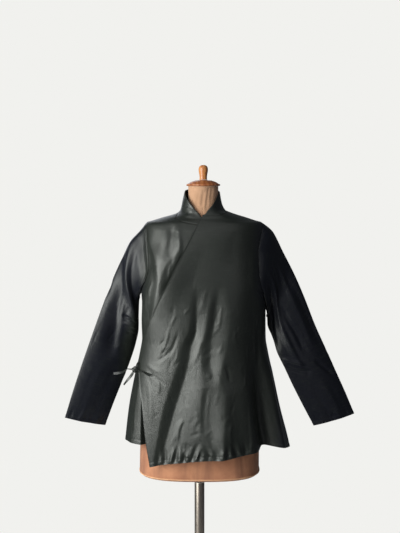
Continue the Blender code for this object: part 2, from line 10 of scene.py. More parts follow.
import bpy
import numpy as np
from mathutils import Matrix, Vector


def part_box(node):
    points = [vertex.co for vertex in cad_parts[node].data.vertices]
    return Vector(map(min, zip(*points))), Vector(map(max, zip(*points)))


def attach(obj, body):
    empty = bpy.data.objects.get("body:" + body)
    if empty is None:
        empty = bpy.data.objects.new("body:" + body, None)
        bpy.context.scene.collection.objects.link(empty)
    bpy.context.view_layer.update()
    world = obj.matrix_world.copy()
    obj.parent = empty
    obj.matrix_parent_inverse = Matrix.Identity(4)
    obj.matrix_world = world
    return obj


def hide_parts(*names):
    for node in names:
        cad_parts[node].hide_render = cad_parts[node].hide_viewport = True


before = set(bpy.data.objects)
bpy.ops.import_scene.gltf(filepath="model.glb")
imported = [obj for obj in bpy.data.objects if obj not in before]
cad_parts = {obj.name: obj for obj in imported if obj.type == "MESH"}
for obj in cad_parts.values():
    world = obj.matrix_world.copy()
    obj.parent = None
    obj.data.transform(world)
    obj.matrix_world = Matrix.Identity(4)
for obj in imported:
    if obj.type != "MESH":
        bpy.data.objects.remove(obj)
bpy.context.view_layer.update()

# ---- The viewer, the light and the floor -------------------------------------------------------------------
# A standing viewer's eye, 2.5 m in front of the form and level with the neck cap, looking down a little. One
# tall soft window at the viewer's left does nearly all the lighting. The lamp beside it, the fill, the ceiling
# and the light behind are faint, and the floor is plain and pale.
IMAGE_HEIGHT = 533
FOCAL_PIXELS = 820
EYE = (0.0016, -2.5, 1.487)
LOOKING_DOWN = math.radians(5.75)

eye = bpy.data.cameras.new("eye")
eye.sensor_width = 36.0
eye.lens = eye.sensor_width * FOCAL_PIXELS / IMAGE_HEIGHT
camera = bpy.data.objects.new("camera", eye)
camera.location = EYE
camera.rotation_euler = (math.radians(90) - LOOKING_DOWN, 0, 0)
bpy.context.scene.collection.objects.link(camera)
bpy.context.scene.camera = camera
bpy.context.scene.view_settings.view_transform = "Standard"


def tint(code):
    """The linear colour of an sRGB hex code."""
    channels = [int(code[i:i + 2], 16) / 255 for i in (1, 3, 5)]
    return (*(c / 12.92 if c <= 0.04045 else ((c + 0.055) / 1.055) ** 2.4 for c in channels), 1.0)


def add(tree, kind, inputs=None, **settings):
    """Adds one node with its settings. An input's value may be a number, a colour or another node's output."""
    made = tree.nodes.new(kind)
    for name, value in settings.items():
        setattr(made, name, value)
    for socket, value in (inputs or {}).items():
        if isinstance(value, bpy.types.NodeSocket):
            tree.links.new(value, made.inputs[socket])
        else:
            made.inputs[socket].default_value = value
    return made


# Pale all round for the eye. What the cloth mirrors is dimmer, as in a room lit from one side.
room = bpy.data.worlds.new("pale_room")
room.use_nodes = True
sky = room.node_tree
sky.nodes.clear()
seen = add(sky, "ShaderNodeBackground", {"Color": tint("#f1f1ee"), "Strength": 1.0})
lit = add(sky, "ShaderNodeBackground", {"Color": tint("#dfe6f0"), "Strength": 0.09})
ray = add(sky, "ShaderNodeLightPath")
both = add(sky, "ShaderNodeMixShader", {0: ray.outputs["Is Camera Ray"], 1: lit.outputs[0],
                                        2: seen.outputs[0]})
add(sky, "ShaderNodeOutputWorld", {"Surface": both.outputs[0]})
bpy.context.scene.world = room

Lamp = namedtuple("Lamp", "name place aim width height watts colour")
LAMPS = (
    Lamp("window", (-1.95, -1.72, 1.55), (0.0, 0.0, 1.05), 1.8, 2.6, 138.0, "#fcfff9"),
    Lamp("side", (-2.55, -0.42, 1.35), (0.0, 0.0, 1.0), 1.1, 1.7, 9.0, "#fcfff9"),
    Lamp("fill", (1.15, -2.4, 1.40), (0.0, 0.0, 1.25), 2.0, 0.9, 4.5, "#ffffff"),
    Lamp("ceiling", (-0.2, -1.2, 3.3), (0.0, -0.2, 1.3), 3.0, 1.8, 11.0, "#ffffff"),
    Lamp("back_fill", (-0.8, 2.6, 2.2), (0.0, 0.0, 1.0), 2.0, 2.0, 16.0, "#f2f6ff"),
)
for lamp in LAMPS:
    light = bpy.data.lights.new(lamp.name, "AREA")
    light.shape = "RECTANGLE"
    light.size, light.size_y, light.energy = lamp.width, lamp.height, lamp.watts
    light.color = tint(lamp.colour)[:3]
    holder = bpy.data.objects.new(lamp.name, light)
    holder.location = lamp.place
    holder.rotation_euler = (Vector(lamp.aim) - Vector(lamp.place)).to_track_quat("-Z", "Y").to_euler()
    bpy.context.scene.collection.objects.link(holder)


def new_finish(name):
    """An empty node material: the material, its node tree and its shader."""
    finish = bpy.data.materials.new(name)
    finish.use_nodes = True
    return finish, finish.node_tree, finish.node_tree.nodes["Principled BSDF"]


# Painted concrete, rolled: matt and nearly even.
painted_concrete, tree, shader = new_finish("painted_concrete")
place = add(tree, "ShaderNodeTexCoord").outputs["Object"]
cloud = add(tree, "ShaderNodeTexNoise", {"Vector": place, "Scale": 2.0, "Detail": 3.0})
colour = add(tree, "ShaderNodeMix", {0: cloud.outputs[0], 6: tint("#e9e8e4"), 7: tint("#eeedea")},
             data_type="RGBA")
tree.links.new(colour.outputs[2], shader.inputs["Base Color"])
shader.inputs["Roughness"].default_value = 0.85
FLOOR_RADIUS, FLOOR_LEVEL = 0.80, -0.0005       # half a millimetre under the foot
bpy.ops.object.select_all(action="DESELECT")
bpy.ops.mesh.primitive_circle_add(vertices=128, radius=FLOOR_RADIUS, fill_type="NGON",
                                  location=(0, 0, FLOOR_LEVEL))
floor = bpy.context.object
floor.name = "floor"
floor.data.materials.append(painted_concrete)

# ---- The stand: base, pole and socket ----------------------------------------------------------------------
# A cast-iron foot, enamelled black, carries a plated steel tube. A brighter sleeve at the tube's top, clear of
# hands and dust, slides into the form. All three are turned or drawn round, so each is raised from a circle.


def raise_round(name, rows, x=0.0, sides=72):
    """A round piece from (radius, height) rows, lowest first, extruded ring by ring from a circle."""
    bpy.ops.object.select_all(action="DESELECT")
    bpy.ops.mesh.primitive_circle_add(vertices=sides, radius=rows[0][0], fill_type="NGON",
                                      location=(x, 0, rows[0][1]))
    piece = bpy.context.object
    piece.name = name
    bpy.ops.object.mode_set(mode="EDIT")
    bpy.ops.mesh.select_all(action="SELECT")
    for (before, low), (after, high) in zip(rows, rows[1:]):
        bpy.ops.mesh.extrude_region_move(TRANSFORM_OT_translate={"value": (0, 0, high - low)})
        bpy.ops.transform.resize(value=(after / before, after / before, 1), center_override=(x, 0, high))
    bpy.ops.mesh.select_all(action="SELECT")
    bpy.ops.mesh.normals_make_consistent(inside=False)
    bpy.ops.object.mode_set(mode="OBJECT")
    bpy.ops.object.transform_apply(location=True, rotation=True, scale=True)
    return piece


def finish_edges(piece, width, angle=35):
    """Rounds a hard piece's edges and smooths what lies between them."""
    bevel = piece.modifiers.new("edges", "BEVEL")
    bevel.width, bevel.segments, bevel.limit_method = width, 3, "ANGLE"
    bevel.angle_limit = math.radians(angle)
    bpy.context.view_layer.objects.active = piece
    piece.select_set(True)
    bpy.ops.object.modifier_apply(modifier=bevel.name)
    bpy.ops.object.shade_smooth_by_angle(angle=math.radians(angle))


def settle(piece, node, slot, *finishes):
    """Gives a piece its materials, and puts it in the place of the plain solid of this node."""
    piece.data.materials.clear()
    for finish in finishes:
        piece.data.materials.append(finish)
    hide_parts(node)
    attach(piece, "root")


# Stoved black enamel on cast iron: glossy, with the casting's slight orange peel under it.
black_enamel, tree, shader = new_finish("black_enamel")
place = add(tree, "ShaderNodeTexCoord").outputs["Object"]
cloud = add(tree, "ShaderNodeTexNoise", {"Vector": place, "Scale": 30.0, "Detail": 4.0})
colour = add(tree, "ShaderNodeMix", {0: cloud.outputs[0], 6: tint("#1d1d1e"), 7: tint("#2c2b2a")},
             data_type="RGBA")
peel = add(tree, "ShaderNodeTexNoise", {"Vector": place, "Scale": 420.0, "Detail": 2.0})
bump = add(tree, "ShaderNodeBump", {"Height": peel.outputs[0], "Distance": 0.0004, "Strength": 0.4})
tree.links.new(colour.outputs[2], shader.inputs["Base Color"])
tree.links.new(bump.outputs[0], shader.inputs["Normal"])
shader.inputs["Roughness"].default_value = 0.38

# Nickel-plated steel gone dull with handling: long faint streaks down the tube and brownish bloom.
dull_nickel, tree, shader = new_finish("dull_nickel")
place = add(tree, "ShaderNodeTexCoord").outputs["Object"]
streaks = add(tree, "ShaderNodeMapping", {"Vector": place, "Scale": (260.0, 260.0, 5.0)})
drawn = add(tree, "ShaderNodeTexNoise", {"Vector": streaks.outputs[0], "Scale": 1.0, "Detail": 3.0})
bloom = add(tree, "ShaderNodeTexNoise", {"Vector": place, "Scale": 9.0, "Detail": 5.0})
worn = add(tree, "ShaderNodeMix", {0: bloom.outputs[0], 6: tint("#b3aca4"), 7: tint("#86776c")},
           data_type="RGBA")
colour = add(tree, "ShaderNodeMix", {0: drawn.outputs[0], 6: worn.outputs[2], 7: tint("#a89f97")},
             data_type="RGBA")
rough = add(tree, "ShaderNodeMapRange", {"Value": bloom.outputs[0], "To Min": 0.26, "To Max": 0.46})
tree.links.new(colour.outputs[2], shader.inputs["Base Color"])
tree.links.new(rough.outputs[0], shader.inputs["Roughness"])
shader.inputs["Metallic"].default_value = 1.0

# The same plating where it was covered for most of its life: clean and bright.
bright_nickel, tree, shader = new_finish("bright_nickel")
place = add(tree, "ShaderNodeTexCoord").outputs["Object"]
streaks = add(tree, "ShaderNodeMapping", {"Vector": place, "Scale": (300.0, 300.0, 8.0)})
drawn = add(tree, "ShaderNodeTexNoise", {"Vector": streaks.outputs[0], "Scale": 1.0, "Detail": 3.0})
colour = add(tree, "ShaderNodeMix", {0: drawn.outputs[0], 6: tint("#cfcdc8"), 7: tint("#aaa6a0")},
             data_type="RGBA")
tree.links.new(colour.outputs[2], shader.inputs["Base Color"])
shader.inputs["Metallic"].default_value = 1.0
shader.inputs["Roughness"].default_value = 0.24

foot_low, foot_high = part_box("base")
foot_radius = foot_high.x
foot = raise_round("stand_foot", (
    (foot_radius - 0.003, foot_low.z), (foot_radius, 0.003), (foot_radius, 0.010),
    (foot_radius - 0.008, 0.014), (foot_radius - 0.014, 0.0145), (foot_radius - 0.020, 0.0128),
    (foot_radius - 0.026, 0.0140), (0.110, 0.0175), (0.064, 0.0205), (0.046, 0.0230), (0.036, 0.0280),
    (0.034, 0.0300), (0.034, 0.0400), (0.032, 0.0440), (0.030, foot_high.z)), sides=128)
finish_edges(foot, 0.0008)
settle(foot, "base", "base_iron", black_enamel)

pole_low, pole_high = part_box("pole")
pole_radius = pole_high.x
tube = raise_round("stand_tube", (
    (pole_radius, pole_low.z), (pole_radius, 0.300), (pole_radius, pole_high.z - 0.002),
    (pole_radius - 0.0006, pole_high.z)))
finish_edges(tube, 0.0003)
settle(tube, "pole", "steel", dull_nickel)

socket_low, socket_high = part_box("pole_socket")
socket_radius = socket_high.x
socket = raise_round("stand_socket", (
    (socket_radius - 0.0008, socket_low.z), (socket_radius, socket_low.z + 0.001),
    (socket_radius, socket_low.z + 0.006), (socket_radius - 0.0006, socket_low.z + 0.0068),
    (socket_radius - 0.0006, socket_low.z + 0.0080), (socket_radius, socket_low.z + 0.0088),
    (socket_radius, socket_high.z)))
finish_edges(socket, 0.0003)
settle(socket, "pole_socket", "steel", bright_nickel)

# ---- The dress form ----------------------------------------------------------------------------------------
# A limbless padded bust: shaped card under wadding, covered in pinkish tan linen that has aged to patches. The
# cover is sewn in long panels, pulled over the neck, and its lower edge is finished with a thin pale welt.
Ring = namedtuple("Ring", "z left right front back power")
FORM = (
    Ring(0.5945, -0.181, 0.181, 0.110, 0.104, 2.8), Ring(0.602, -0.186, 0.186, 0.115, 0.109, 2.8),
    Ring(0.700, -0.184, 0.186, 0.108, 0.108, 2.6), Ring(0.800, -0.176, 0.180, 0.105, 0.108, 2.5),
    Ring(0.900, -0.160, 0.167, 0.099, 0.102, 2.4), Ring(1.000, -0.142, 0.154, 0.095, 0.090, 2.3),
    Ring(1.090, -0.144, 0.162, 0.104, 0.090, 2.3), Ring(1.180, -0.148, 0.169, 0.118, 0.096, 2.4),
    Ring(1.250, -0.149, 0.172, 0.114, 0.098, 2.4), Ring(1.320, -0.153, 0.176, 0.098, 0.090, 2.4),
    Ring(1.352, -0.150, 0.176, 0.086, 0.079, 2.3), Ring(1.366, -0.141, 0.167, 0.075, 0.071, 2.2),
    Ring(1.378, -0.115, 0.143, 0.066, 0.065, 2.1), Ring(1.390, -0.078, 0.106, 0.058, 0.058, 2.0),
    Ring(1.402, -0.043, 0.066, 0.052, 0.052, 2.0), Ring(1.414, -0.036, 0.059, 0.0475, 0.0475, 2.0),
    Ring(1.430, -0.034, 0.057, 0.0455, 0.0455, 2.0), Ring(1.4805, -0.034, 0.057, 0.0455, 0.0455, 2.0),
)


def smooth(rows):
    """A smooth function through (place, value) rows that doesn't overshoot them, for arrays of places."""
    places, values = (np.array(column, float) for column in zip(*rows))
    steps = np.diff(places)
    grades = np.diff(values) / steps
    slopes = np.concatenate(([grades[0]], np.zeros(len(places) - 2), [grades[-1]]))
    for i in range(1, len(places) - 1):
        before, after = grades[i - 1], grades[i]
        if before * after > 0:
            slopes[i] = 2 * before * after / (before + after)

    def at(place):
        i = np.clip(np.searchsorted(places, place) - 1, 0, len(steps) - 1)
        t = np.clip((place - places[i]) / steps[i], 0.0, 1.0)
        rise, low, high = values[i + 1] - values[i], slopes[i] * steps[i], slopes[i + 1] * steps[i]
        return values[i] + t * (low + t * (3 * rise - 2 * low - high + t * (low + high - 2 * rise)))

    return at


def ease(t):
    """Rises smoothly from 0 to 1 as t does, and stays there."""
    t = np.clip(t, 0.0, 1.0)
    return t * t * (3 - 2 * t)


def mix(a, b, t):
    return a + (b - a) * t


def ring_surface(rings):
    """The surface through a stack of rings: places, and the ways out from them, for turns and heights."""
    tables = {name: smooth([(ring.z, getattr(ring, name)) for ring in rings]) for name in Ring._fields[1:]}

    def at(turn, z):
        left, right, power = (tables[name](z) for name in ("left", "right", "power"))
        c, s = np.cos(np.radians(turn)), np.sin(np.radians(turn))
        half, depth = (right - left) / 2, np.where(s > 0, tables["back"](z), tables["front"](z))
        x = half * np.copysign(np.abs(c) ** (2 / power), c)
        y = depth * np.copysign(np.abs(s) ** (2 / power), s)
        out_x = np.copysign(np.abs(x / half) ** (power - 1), c) / half
        out_y = np.copysign(np.abs(y / depth) ** (power - 1), s) / depth
        size = np.hypot(out_x, out_y)
        place = np.stack((x + (left + right) / 2, y, z + 0 * x), -1)
        return place, np.stack((out_x / size, out_y / size, 0 * x), -1)

    at.tables = tables
    return at


def new_piece(name, points, faces, flat=None):
    """A smooth mesh from an array of points and lists of faces, with its own flat map if there is one."""
    mesh = bpy.data.meshes.new(name)
    mesh.from_pydata(points.tolist(), [], faces)
    if flat is not None:
        layer = mesh.uv_layers.new(name="flat")
        layer.data.foreach_set("uv", np.array(flat, np.float32).ravel())
    mesh.update()
    piece = bpy.data.objects.new(name, mesh)
    bpy.context.scene.collection.objects.link(piece)
    bpy.ops.object.select_all(action="DESELECT")
    bpy.context.view_layer.objects.active = piece
    piece.select_set(True)
    bpy.ops.object.shade_smooth_by_angle(angle=math.radians(40))
    return piece


def tube_faces(rows, columns):
    """The faces of a tube: rows of points, each of which closes on itself."""
    faces = []
    for row in range(rows - 1):
        for column in range(columns):
            corners = ((row, column), (row, column + 1), (row + 1, column + 1), (row + 1, column))
            faces.append([r * columns + c % columns for r, c in corners])
    return faces


def capped(grid, hubs):
    """The points and faces of a tube whose ends are closed by fans to the two hubs."""
    rows, columns = grid.shape[:2]
    top, low_hub, high_hub = (rows - 1) * columns, rows * columns, rows * columns + 1
    faces = tube_faces(rows, columns)
    faces += [[(i + 1) % columns, i, low_hub] for i in range(columns)]
    faces += [[top + i, top + (i + 1) % columns, high_hub] for i in range(columns)]
    return np.concatenate((grid.reshape(-1, 3), hubs)), faces


def dent(distance, width):
    """The cross-section of a sewn line: 1 at its middle, and nothing beyond its width."""
    return 1 - ease(np.abs(distance) / width)


def turned_away(turn, middle):
    """Degrees round from a place, from -180 to 180."""
    return (turn - middle + 180.0) % 360.0 - 180.0


form_surface = ring_surface(FORM)
SEAM_TURNS = (-90.0, -52.0, -128.0, 0.0, 180.0, 90.0, 52.0, 128.0)
SEAM_DEPTH, SEAM_REACH = 0.0009, 1.9    # metres and degrees
SEAM_TOP = 1.43                         # where the panels' seams pass under the neck's own cover
WADDING, WADDING_TOP = 0.0006, 1.40     # how uneven the wadding is, and where it ends
SHOULDER = 1.352
COVER_SIDES = 192
# The cover is drawn tight over the neck, in soft gathers that lean to one side as they rise.
Gather = namedtuple("Gather", "turn width depth low high")
GATHER_LEAN = 160.0                     # degrees a metre
GATHERS = (
    Gather(-97.0, 11.0, 0.0016, 1.412, 1.470), Gather(-80.0, 9.0, 0.0013, 1.405, 1.480),
    Gather(-62.0, 12.0, 0.0012, 1.430, 1.480), Gather(-118.0, 8.0, 0.0009, 1.410, 1.455),
    Gather(-140.0, 10.0, 0.0010, 1.420, 1.478), Gather(-30.0, 9.0, 0.0010, 1.415, 1.465),
    Gather(20.0, 11.0, 0.0012, 1.410, 1.470), Gather(64.0, 9.0, 0.0013, 1.415, 1.480),
    Gather(98.0, 10.0, 0.0010, 1.405, 1.460), Gather(140.0, 12.0, 0.0013, 1.420, 1.475),
)
heights = np.concatenate((
    np.linspace(FORM[0].z, FORM[1].z, 7)[:-1], np.linspace(FORM[1].z, SHOULDER, 120)[:-1],
    np.linspace(SHOULDER, FORM[-1].z, 60)))
turns = np.arange(COVER_SIDES) * 360.0 / COVER_SIDES
turn, z = np.meshgrid(turns, heights)
place, out = form_surface(turn, z)
push = WADDING * np.sin(np.radians(turn) * 3 + z * 9) * ease((WADDING_TOP - z) / 0.1)
for seam_turn in SEAM_TURNS:
    push -= SEAM_DEPTH * dent(turned_away(turn, seam_turn), SEAM_REACH) * ease((SEAM_TOP - z) / 0.02)
for gather in GATHERS:
    away = turned_away(turn - (z - gather.low) * GATHER_LEAN, gather.turn)
    ends = ease((z - gather.low) / 0.015) * ease((gather.high - z) / 0.012)
    push -= gather.depth * dent(away, gather.width) * ends
place = place + out * push[..., None]
bust = new_piece("form_cover", *capped(place, place.mean(axis=1)[[0, -1]]))

# Linen stretched tight: a plain weave of about 12 threads a centimetre, drawn at 1.3 mm so that it shows, with
# tea-coloured age stains, darker rubbed patches, and a yellower, paler neck where the cloth was renewed.
WAVE = 0.3142               # a wave texture's scale is this over the distance between its crests
LINEN_THREAD = 0.0013
FORM_RADIUS = 0.15          # turns angles into lengths round the form, near enough for a weave
aged_linen, tree, shader = new_finish("aged_linen")
place = add(tree, "ShaderNodeTexCoord").outputs["Object"]
parts = add(tree, "ShaderNodeSeparateXYZ", {"Vector": place})
around = add(tree, "ShaderNodeMath", {0: parts.outputs["Y"], 1: parts.outputs["X"]}, operation="ARCTAN2")
around_m = add(tree, "ShaderNodeMath", {0: around.outputs[0], 1: FORM_RADIUS}, operation="MULTIPLY")
weave_at = add(tree, "ShaderNodeCombineXYZ", {"X": around_m.outputs[0], "Y": parts.outputs["Z"], "Z": 0.0})
warp, weft = (add(tree, "ShaderNodeTexWave", {"Vector": weave_at.outputs[0], "Scale": WAVE / LINEN_THREAD,
                                              "Distortion": 1.2, "Detail": 2.0}, bands_direction=axis)
              for axis in "XY")
threads = add(tree, "ShaderNodeMath", {0: warp.outputs["Fac"], 1: weft.outputs["Fac"]}, operation="ADD")
stain = add(tree, "ShaderNodeTexNoise", {"Vector": place, "Scale": 11.0, "Detail": 6.0, "Roughness": 0.6})
stained = add(tree, "ShaderNodeMapRange", {"Value": stain.outputs[0], "From Min": 0.38, "From Max": 0.66})
runs = add(tree, "ShaderNodeMapping", {"Vector": place, "Scale": (26.0, 26.0, 3.0)})
run_noise = add(tree, "ShaderNodeTexNoise", {"Vector": runs.outputs[0], "Scale": 1.0, "Detail": 5.0})
rubbed = add(tree, "ShaderNodeMapRange", {"Value": run_noise.outputs[0], "From Min": 0.45, "From Max": 0.72})
body_tan = add(tree, "ShaderNodeMix", {0: stained.outputs[0], 6: tint("#b9805e"), 7: tint("#9c664a")},
               data_type="RGBA")
body_worn = add(tree, "ShaderNodeMix", {0: rubbed.outputs[0], 6: body_tan.outputs[2], 7: tint("#81543f")},
                data_type="RGBA")
neck_tan = add(tree, "ShaderNodeMix", {0: stained.outputs[0], 6: tint("#cda283"), 7: tint("#a98164")},
               data_type="RGBA")
neck_worn = add(tree, "ShaderNodeMix", {0: rubbed.outputs[0], 6: neck_tan.outputs[2], 7: tint("#9a745a")},
                data_type="RGBA")
neck_on = add(tree, "ShaderNodeMapRange", {"Value": parts.outputs["Z"], "From Min": 1.34, "From Max": 1.41})
cover = add(tree, "ShaderNodeMix", {0: neck_on.outputs[0], 6: body_worn.outputs[2], 7: neck_worn.outputs[2]},
            data_type="RGBA")
soft_threads = add(tree, "ShaderNodeMapRange", {"Value": threads.outputs[0], "From Max": 2.0, "To Min": 0.93,
                                                "To Max": 1.05})
colour = add(tree, "ShaderNodeVectorMath", {0: cover.outputs[2], 1: soft_threads.outputs[0]},
             operation="MULTIPLY")
bump = add(tree, "ShaderNodeBump", {"Height": threads.outputs[0], "Distance": 0.0003, "Strength": 0.5})
tree.links.new(colour.outputs[0], shader.inputs["Base Color"])
tree.links.new(bump.outputs[0], shader.inputs["Normal"])
shader.inputs["Roughness"].default_value = 0.78
shader.inputs["Sheen Weight"].default_value = 0.15
settle(bust, "form_torso", "linen", aged_linen)

# The welt is a folded strip of paler cloth over a cord, sewn round the cover's lower edge.
pale_welt, tree, shader = new_finish("pale_cotton_welt")
place = add(tree, "ShaderNodeTexCoord").outputs["Object"]
cloud = add(tree, "ShaderNodeTexNoise", {"Vector": place, "Scale": 60.0, "Detail": 4.0})
colour = add(tree, "ShaderNodeMix", {0: cloud.outputs[0], 6: tint("#dcae88"), 7: tint("#b27c5c")},
             data_type="RGBA")
tree.links.new(colour.outputs[2], shader.inputs["Base Color"])
shader.inputs["Roughness"].default_value = 0.8
WELT_RADIUS, WELT_HEIGHT, WELT_SIDES = 0.0019, 0.6015, 10
edge, edge_out = form_surface(turns, np.full(COVER_SIDES, WELT_HEIGHT))
ring_angle = np.radians(np.arange(WELT_SIDES) * 360.0 / WELT_SIDES)[:, None, None]
skin = edge + WELT_RADIUS * (np.cos(ring_angle) * edge_out - np.sin(ring_angle) * np.array((0.0, 0.0, 1.0)))
faces = [[corner % (WELT_SIDES * COVER_SIDES) for corner in face]
         for face in tube_faces(WELT_SIDES + 1, COVER_SIDES)]
welt = new_piece("form_welt", skin.reshape(-1, 3), faces)
welt.data.materials.append(pale_welt)
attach(welt, "root")

# ---- The neck cap and its finial ---------------------------------------------------------------------------
# Turned beech, stained red-brown and varnished. The cap is a low dome with a rounded lip that overhangs the
# cloth, and the finial is a plain knob on a waisted stem, glued into the cap's middle.
cap_low, cap_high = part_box("neck_cap")
knob_low, knob_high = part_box("finial")
CAP_ENDS, FINIAL_BEGINS = 1.4994, 1.4998        # the paler finial is told by its height
varnished_beech, tree, shader = new_finish("varnished_beech")
place = add(tree, "ShaderNodeTexCoord").outputs["Object"]
grain_at = add(tree, "ShaderNodeMapping", {"Vector": place, "Scale": (1.0, 1.0, 0.12),
                                           "Rotation": (0.5, 0.3, 0.0)})
grain = add(tree, "ShaderNodeTexNoise", {"Vector": grain_at.outputs[0], "Scale": 420.0, "Detail": 5.0})
rings = add(tree, "ShaderNodeTexWave", {"Vector": grain_at.outputs[0], "Scale": 26.0, "Distortion": 5.0,
                                        "Detail": 3.0}, bands_direction="X")
height = add(tree, "ShaderNodeSeparateXYZ", {"Vector": place}).outputs["Z"]
is_finial = add(tree, "ShaderNodeMapRange", {"Value": height, "From Min": CAP_ENDS, "From Max": FINIAL_BEGINS})
light = add(tree, "ShaderNodeMix", {0: is_finial.outputs[0], 6: tint("#a9683a"), 7: tint("#c48448")},
            data_type="RGBA")
dark = add(tree, "ShaderNodeMix", {0: is_finial.outputs[0], 6: tint("#8a4a26"), 7: tint("#a86531")},
           data_type="RGBA")
stained = add(tree, "ShaderNodeMix", {0: rings.outputs["Fac"], 6: light.outputs[2], 7: dark.outputs[2]},
              data_type="RGBA")
fleck = add(tree, "ShaderNodeMapRange", {"Value": grain.outputs[0], "From Min": 0.45, "From Max": 0.75})
colour = add(tree, "ShaderNodeMix", {0: fleck.outputs[0], 6: stained.outputs[2], 7: tint("#7c4522")},
             data_type="RGBA")
bump = add(tree, "ShaderNodeBump", {"Height": grain.outputs[0], "Distance": 0.0002, "Strength": 0.3})
tree.links.new(colour.outputs[2], shader.inputs["Base Color"])
tree.links.new(bump.outputs[0], shader.inputs["Normal"])
shader.inputs["Roughness"].default_value = 0.42
shader.inputs["Coat Weight"].default_value = 0.35
shader.inputs["Coat Roughness"].default_value = 0.22

neck_x = (cap_low.x + cap_high.x) / 2
lip, rim = (cap_high.x - cap_low.x) / 2, cap_low.z
cap = raise_round("neck_cap_turned", (
    (lip - 0.0035, rim), (lip - 0.0012, rim + 0.0006), (lip, rim + 0.0022), (lip, rim + 0.0040),
    (lip - 0.0014, rim + 0.0056), (lip - 0.0032, rim + 0.0062), (lip - 0.0040, rim + 0.0058),
    (lip - 0.0052, rim + 0.0070), (lip - 0.0105, rim + 0.0106), (lip - 0.0190, rim + 0.0144),
    (lip - 0.0280, rim + 0.0170), (0.0150, cap_high.z - 0.0010), (0.0125, cap_high.z - 0.0003)),
    neck_x, sides=96)
finish_edges(cap, 0.0003, 50)
settle(cap, "neck_cap", "turned_wood", varnished_beech)

knob = raise_round("finial_turned", (
    (0.0118, knob_low.z), (0.0119, knob_low.z + 0.0015), (0.0114, knob_low.z + 0.0035),
    (0.0113, knob_low.z + 0.0080), (0.0117, knob_low.z + 0.0130), (0.0126, knob_low.z + 0.0185),
    (0.0137, knob_low.z + 0.0240), (0.0143, knob_low.z + 0.0300), (0.0142, knob_high.z - 0.0130),
    (0.0133, knob_high.z - 0.0075), (0.0112, knob_high.z - 0.0036), (0.0078, knob_high.z - 0.0012),
    (0.0035, knob_high.z)), neck_x, sides=64)
finish_edges(knob, 0.0003, 50)
settle(knob, "finial", "turned_wood", varnished_beech)

# ---- The jacket's cloth and its shape ----------------------------------------------------------------------
# Plain-woven taffeta, green-black, crisp and thin: it stands off in paper-like folds and shines where it turns
# to the light. The body of the jacket is a stack of rings, as a dressmaker would tape it. A place on it is a
# turn (0 the wearer's left side, -90 the front, 90 the back, 180 or -180 the right side) and a height.
CLOTH = 0.0011              # a seam's and a hem's layers, pressed flat
SEAM = 0.0003               # what two panels' cut edges leave between them
OVERLAP_LIFT = 0.004        # how far the over front stands off the under front
BODY = (
    Ring(0.600, -0.240, 0.297, 0.142, 0.150, 2.4), Ring(0.700, -0.231, 0.276, 0.141, 0.146, 2.4),
    Ring(0.800, -0.219, 0.250, 0.138, 0.138, 2.4), Ring(0.900, -0.200, 0.228, 0.135, 0.129, 2.4),
    Ring(0.970, -0.184, 0.212, 0.133, 0.123, 2.4), Ring(1.020, -0.176, 0.204, 0.131, 0.119, 2.4),
    Ring(1.090, -0.174, 0.203, 0.131, 0.116, 2.4), Ring(1.165, -0.178, 0.203, 0.132, 0.113, 2.4),
    Ring(1.250, -0.173, 0.199, 0.126, 0.109, 2.4), Ring(1.320, -0.169, 0.196, 0.109, 0.100, 2.35),
    Ring(1.350, -0.167, 0.195, 0.097, 0.091, 2.3), Ring(1.362, -0.1655, 0.1935, 0.090, 0.085, 2.25),
    Ring(1.3706, -0.161, 0.190, 0.084, 0.081, 2.2), Ring(1.377, -0.141, 0.169, 0.079, 0.077, 2.15),
    Ring(1.385, -0.115, 0.145, 0.072, 0.073, 2.1), Ring(1.400, -0.067, 0.098, 0.064, 0.065, 2.05),
    Ring(1.409, -0.058, 0.078, 0.061, 0.061, 2.0), Ring(1.430, -0.053, 0.068, 0.056, 0.057, 2.0),
    Ring(1.475, -0.043, 0.060, 0.050, 0.052, 2.0),
)
Place = namedtuple("Place", "z x")
ARMHOLE_RIGHT = (Place(1.155, -0.1785), Place(1.1605, -0.1769), Place(1.176, -0.1732), Place(1.202, -0.161),
                 Place(1.243, -0.1515), Place(1.292, -0.155), Place(1.326, -0.1585), Place(1.350, -0.1603),
                 Place(1.3655, -0.162), Place(1.3706, -0.164))
ARMHOLE_LEFT = (Place(1.105, 0.2035), Place(1.112, 0.2021), Place(1.130, 0.1983), Place(1.161, 0.1905),
                Place(1.212, 0.179), Place(1.289, 0.175), Place(1.318, 0.181), Place(1.345, 0.1868),
                Place(1.3645, 0.1895), Place(1.3706, 0.192))
WRAP_EDGE = (Place(0.645, -0.146), Place(0.721, -0.157), Place(0.843, -0.1675), Place(0.880, -0.1725),
             Place(0.955, -0.176), Place(0.987, -0.167), Place(1.047, -0.145), Place(1.127, -0.119),
             Place(1.205, -0.084), Place(1.253, -0.063), Place(1.331, -0.025), Place(1.3905, 0.006))
HIDDEN_EDGE = (Place(0.695, 0.030), Place(1.000, 0.035), Place(1.250, 0.035), Place(1.366, 0.002))
Level = namedtuple("Level", "turn z")
HEM_OVER = (Level(-127.5, 0.634), Level(-110.0, 0.651), Level(-90.0, 0.669), Level(-72.0, 0.681),
            Level(-62.0, 0.686), Level(-56.0, 0.688), Level(-48.0, 0.694), Level(-20.0, 0.682),
            Level(0.0, 0.671))
HEM_UNDER = (Level(-180.0, 0.697), Level(-150.0, 0.703), Level(-120.0, 0.701), Level(-83.0, 0.695))
HEM_BACK = (Level(0.0, 0.671), Level(45.0, 0.683), Level(90.0, 0.688), Level(135.0, 0.690),
            Level(180.0, 0.697))
NECK_OVER = (Level(-93.9, 1.3905), Level(-60.0, 1.396), Level(-30.0, 1.402), Level(0.0, 1.4065))
NECK_UNDER = (Level(-180.0, 1.4005), Level(-150.0, 1.394), Level(-120.0, 1.380), Level(-91.0, 1.366))
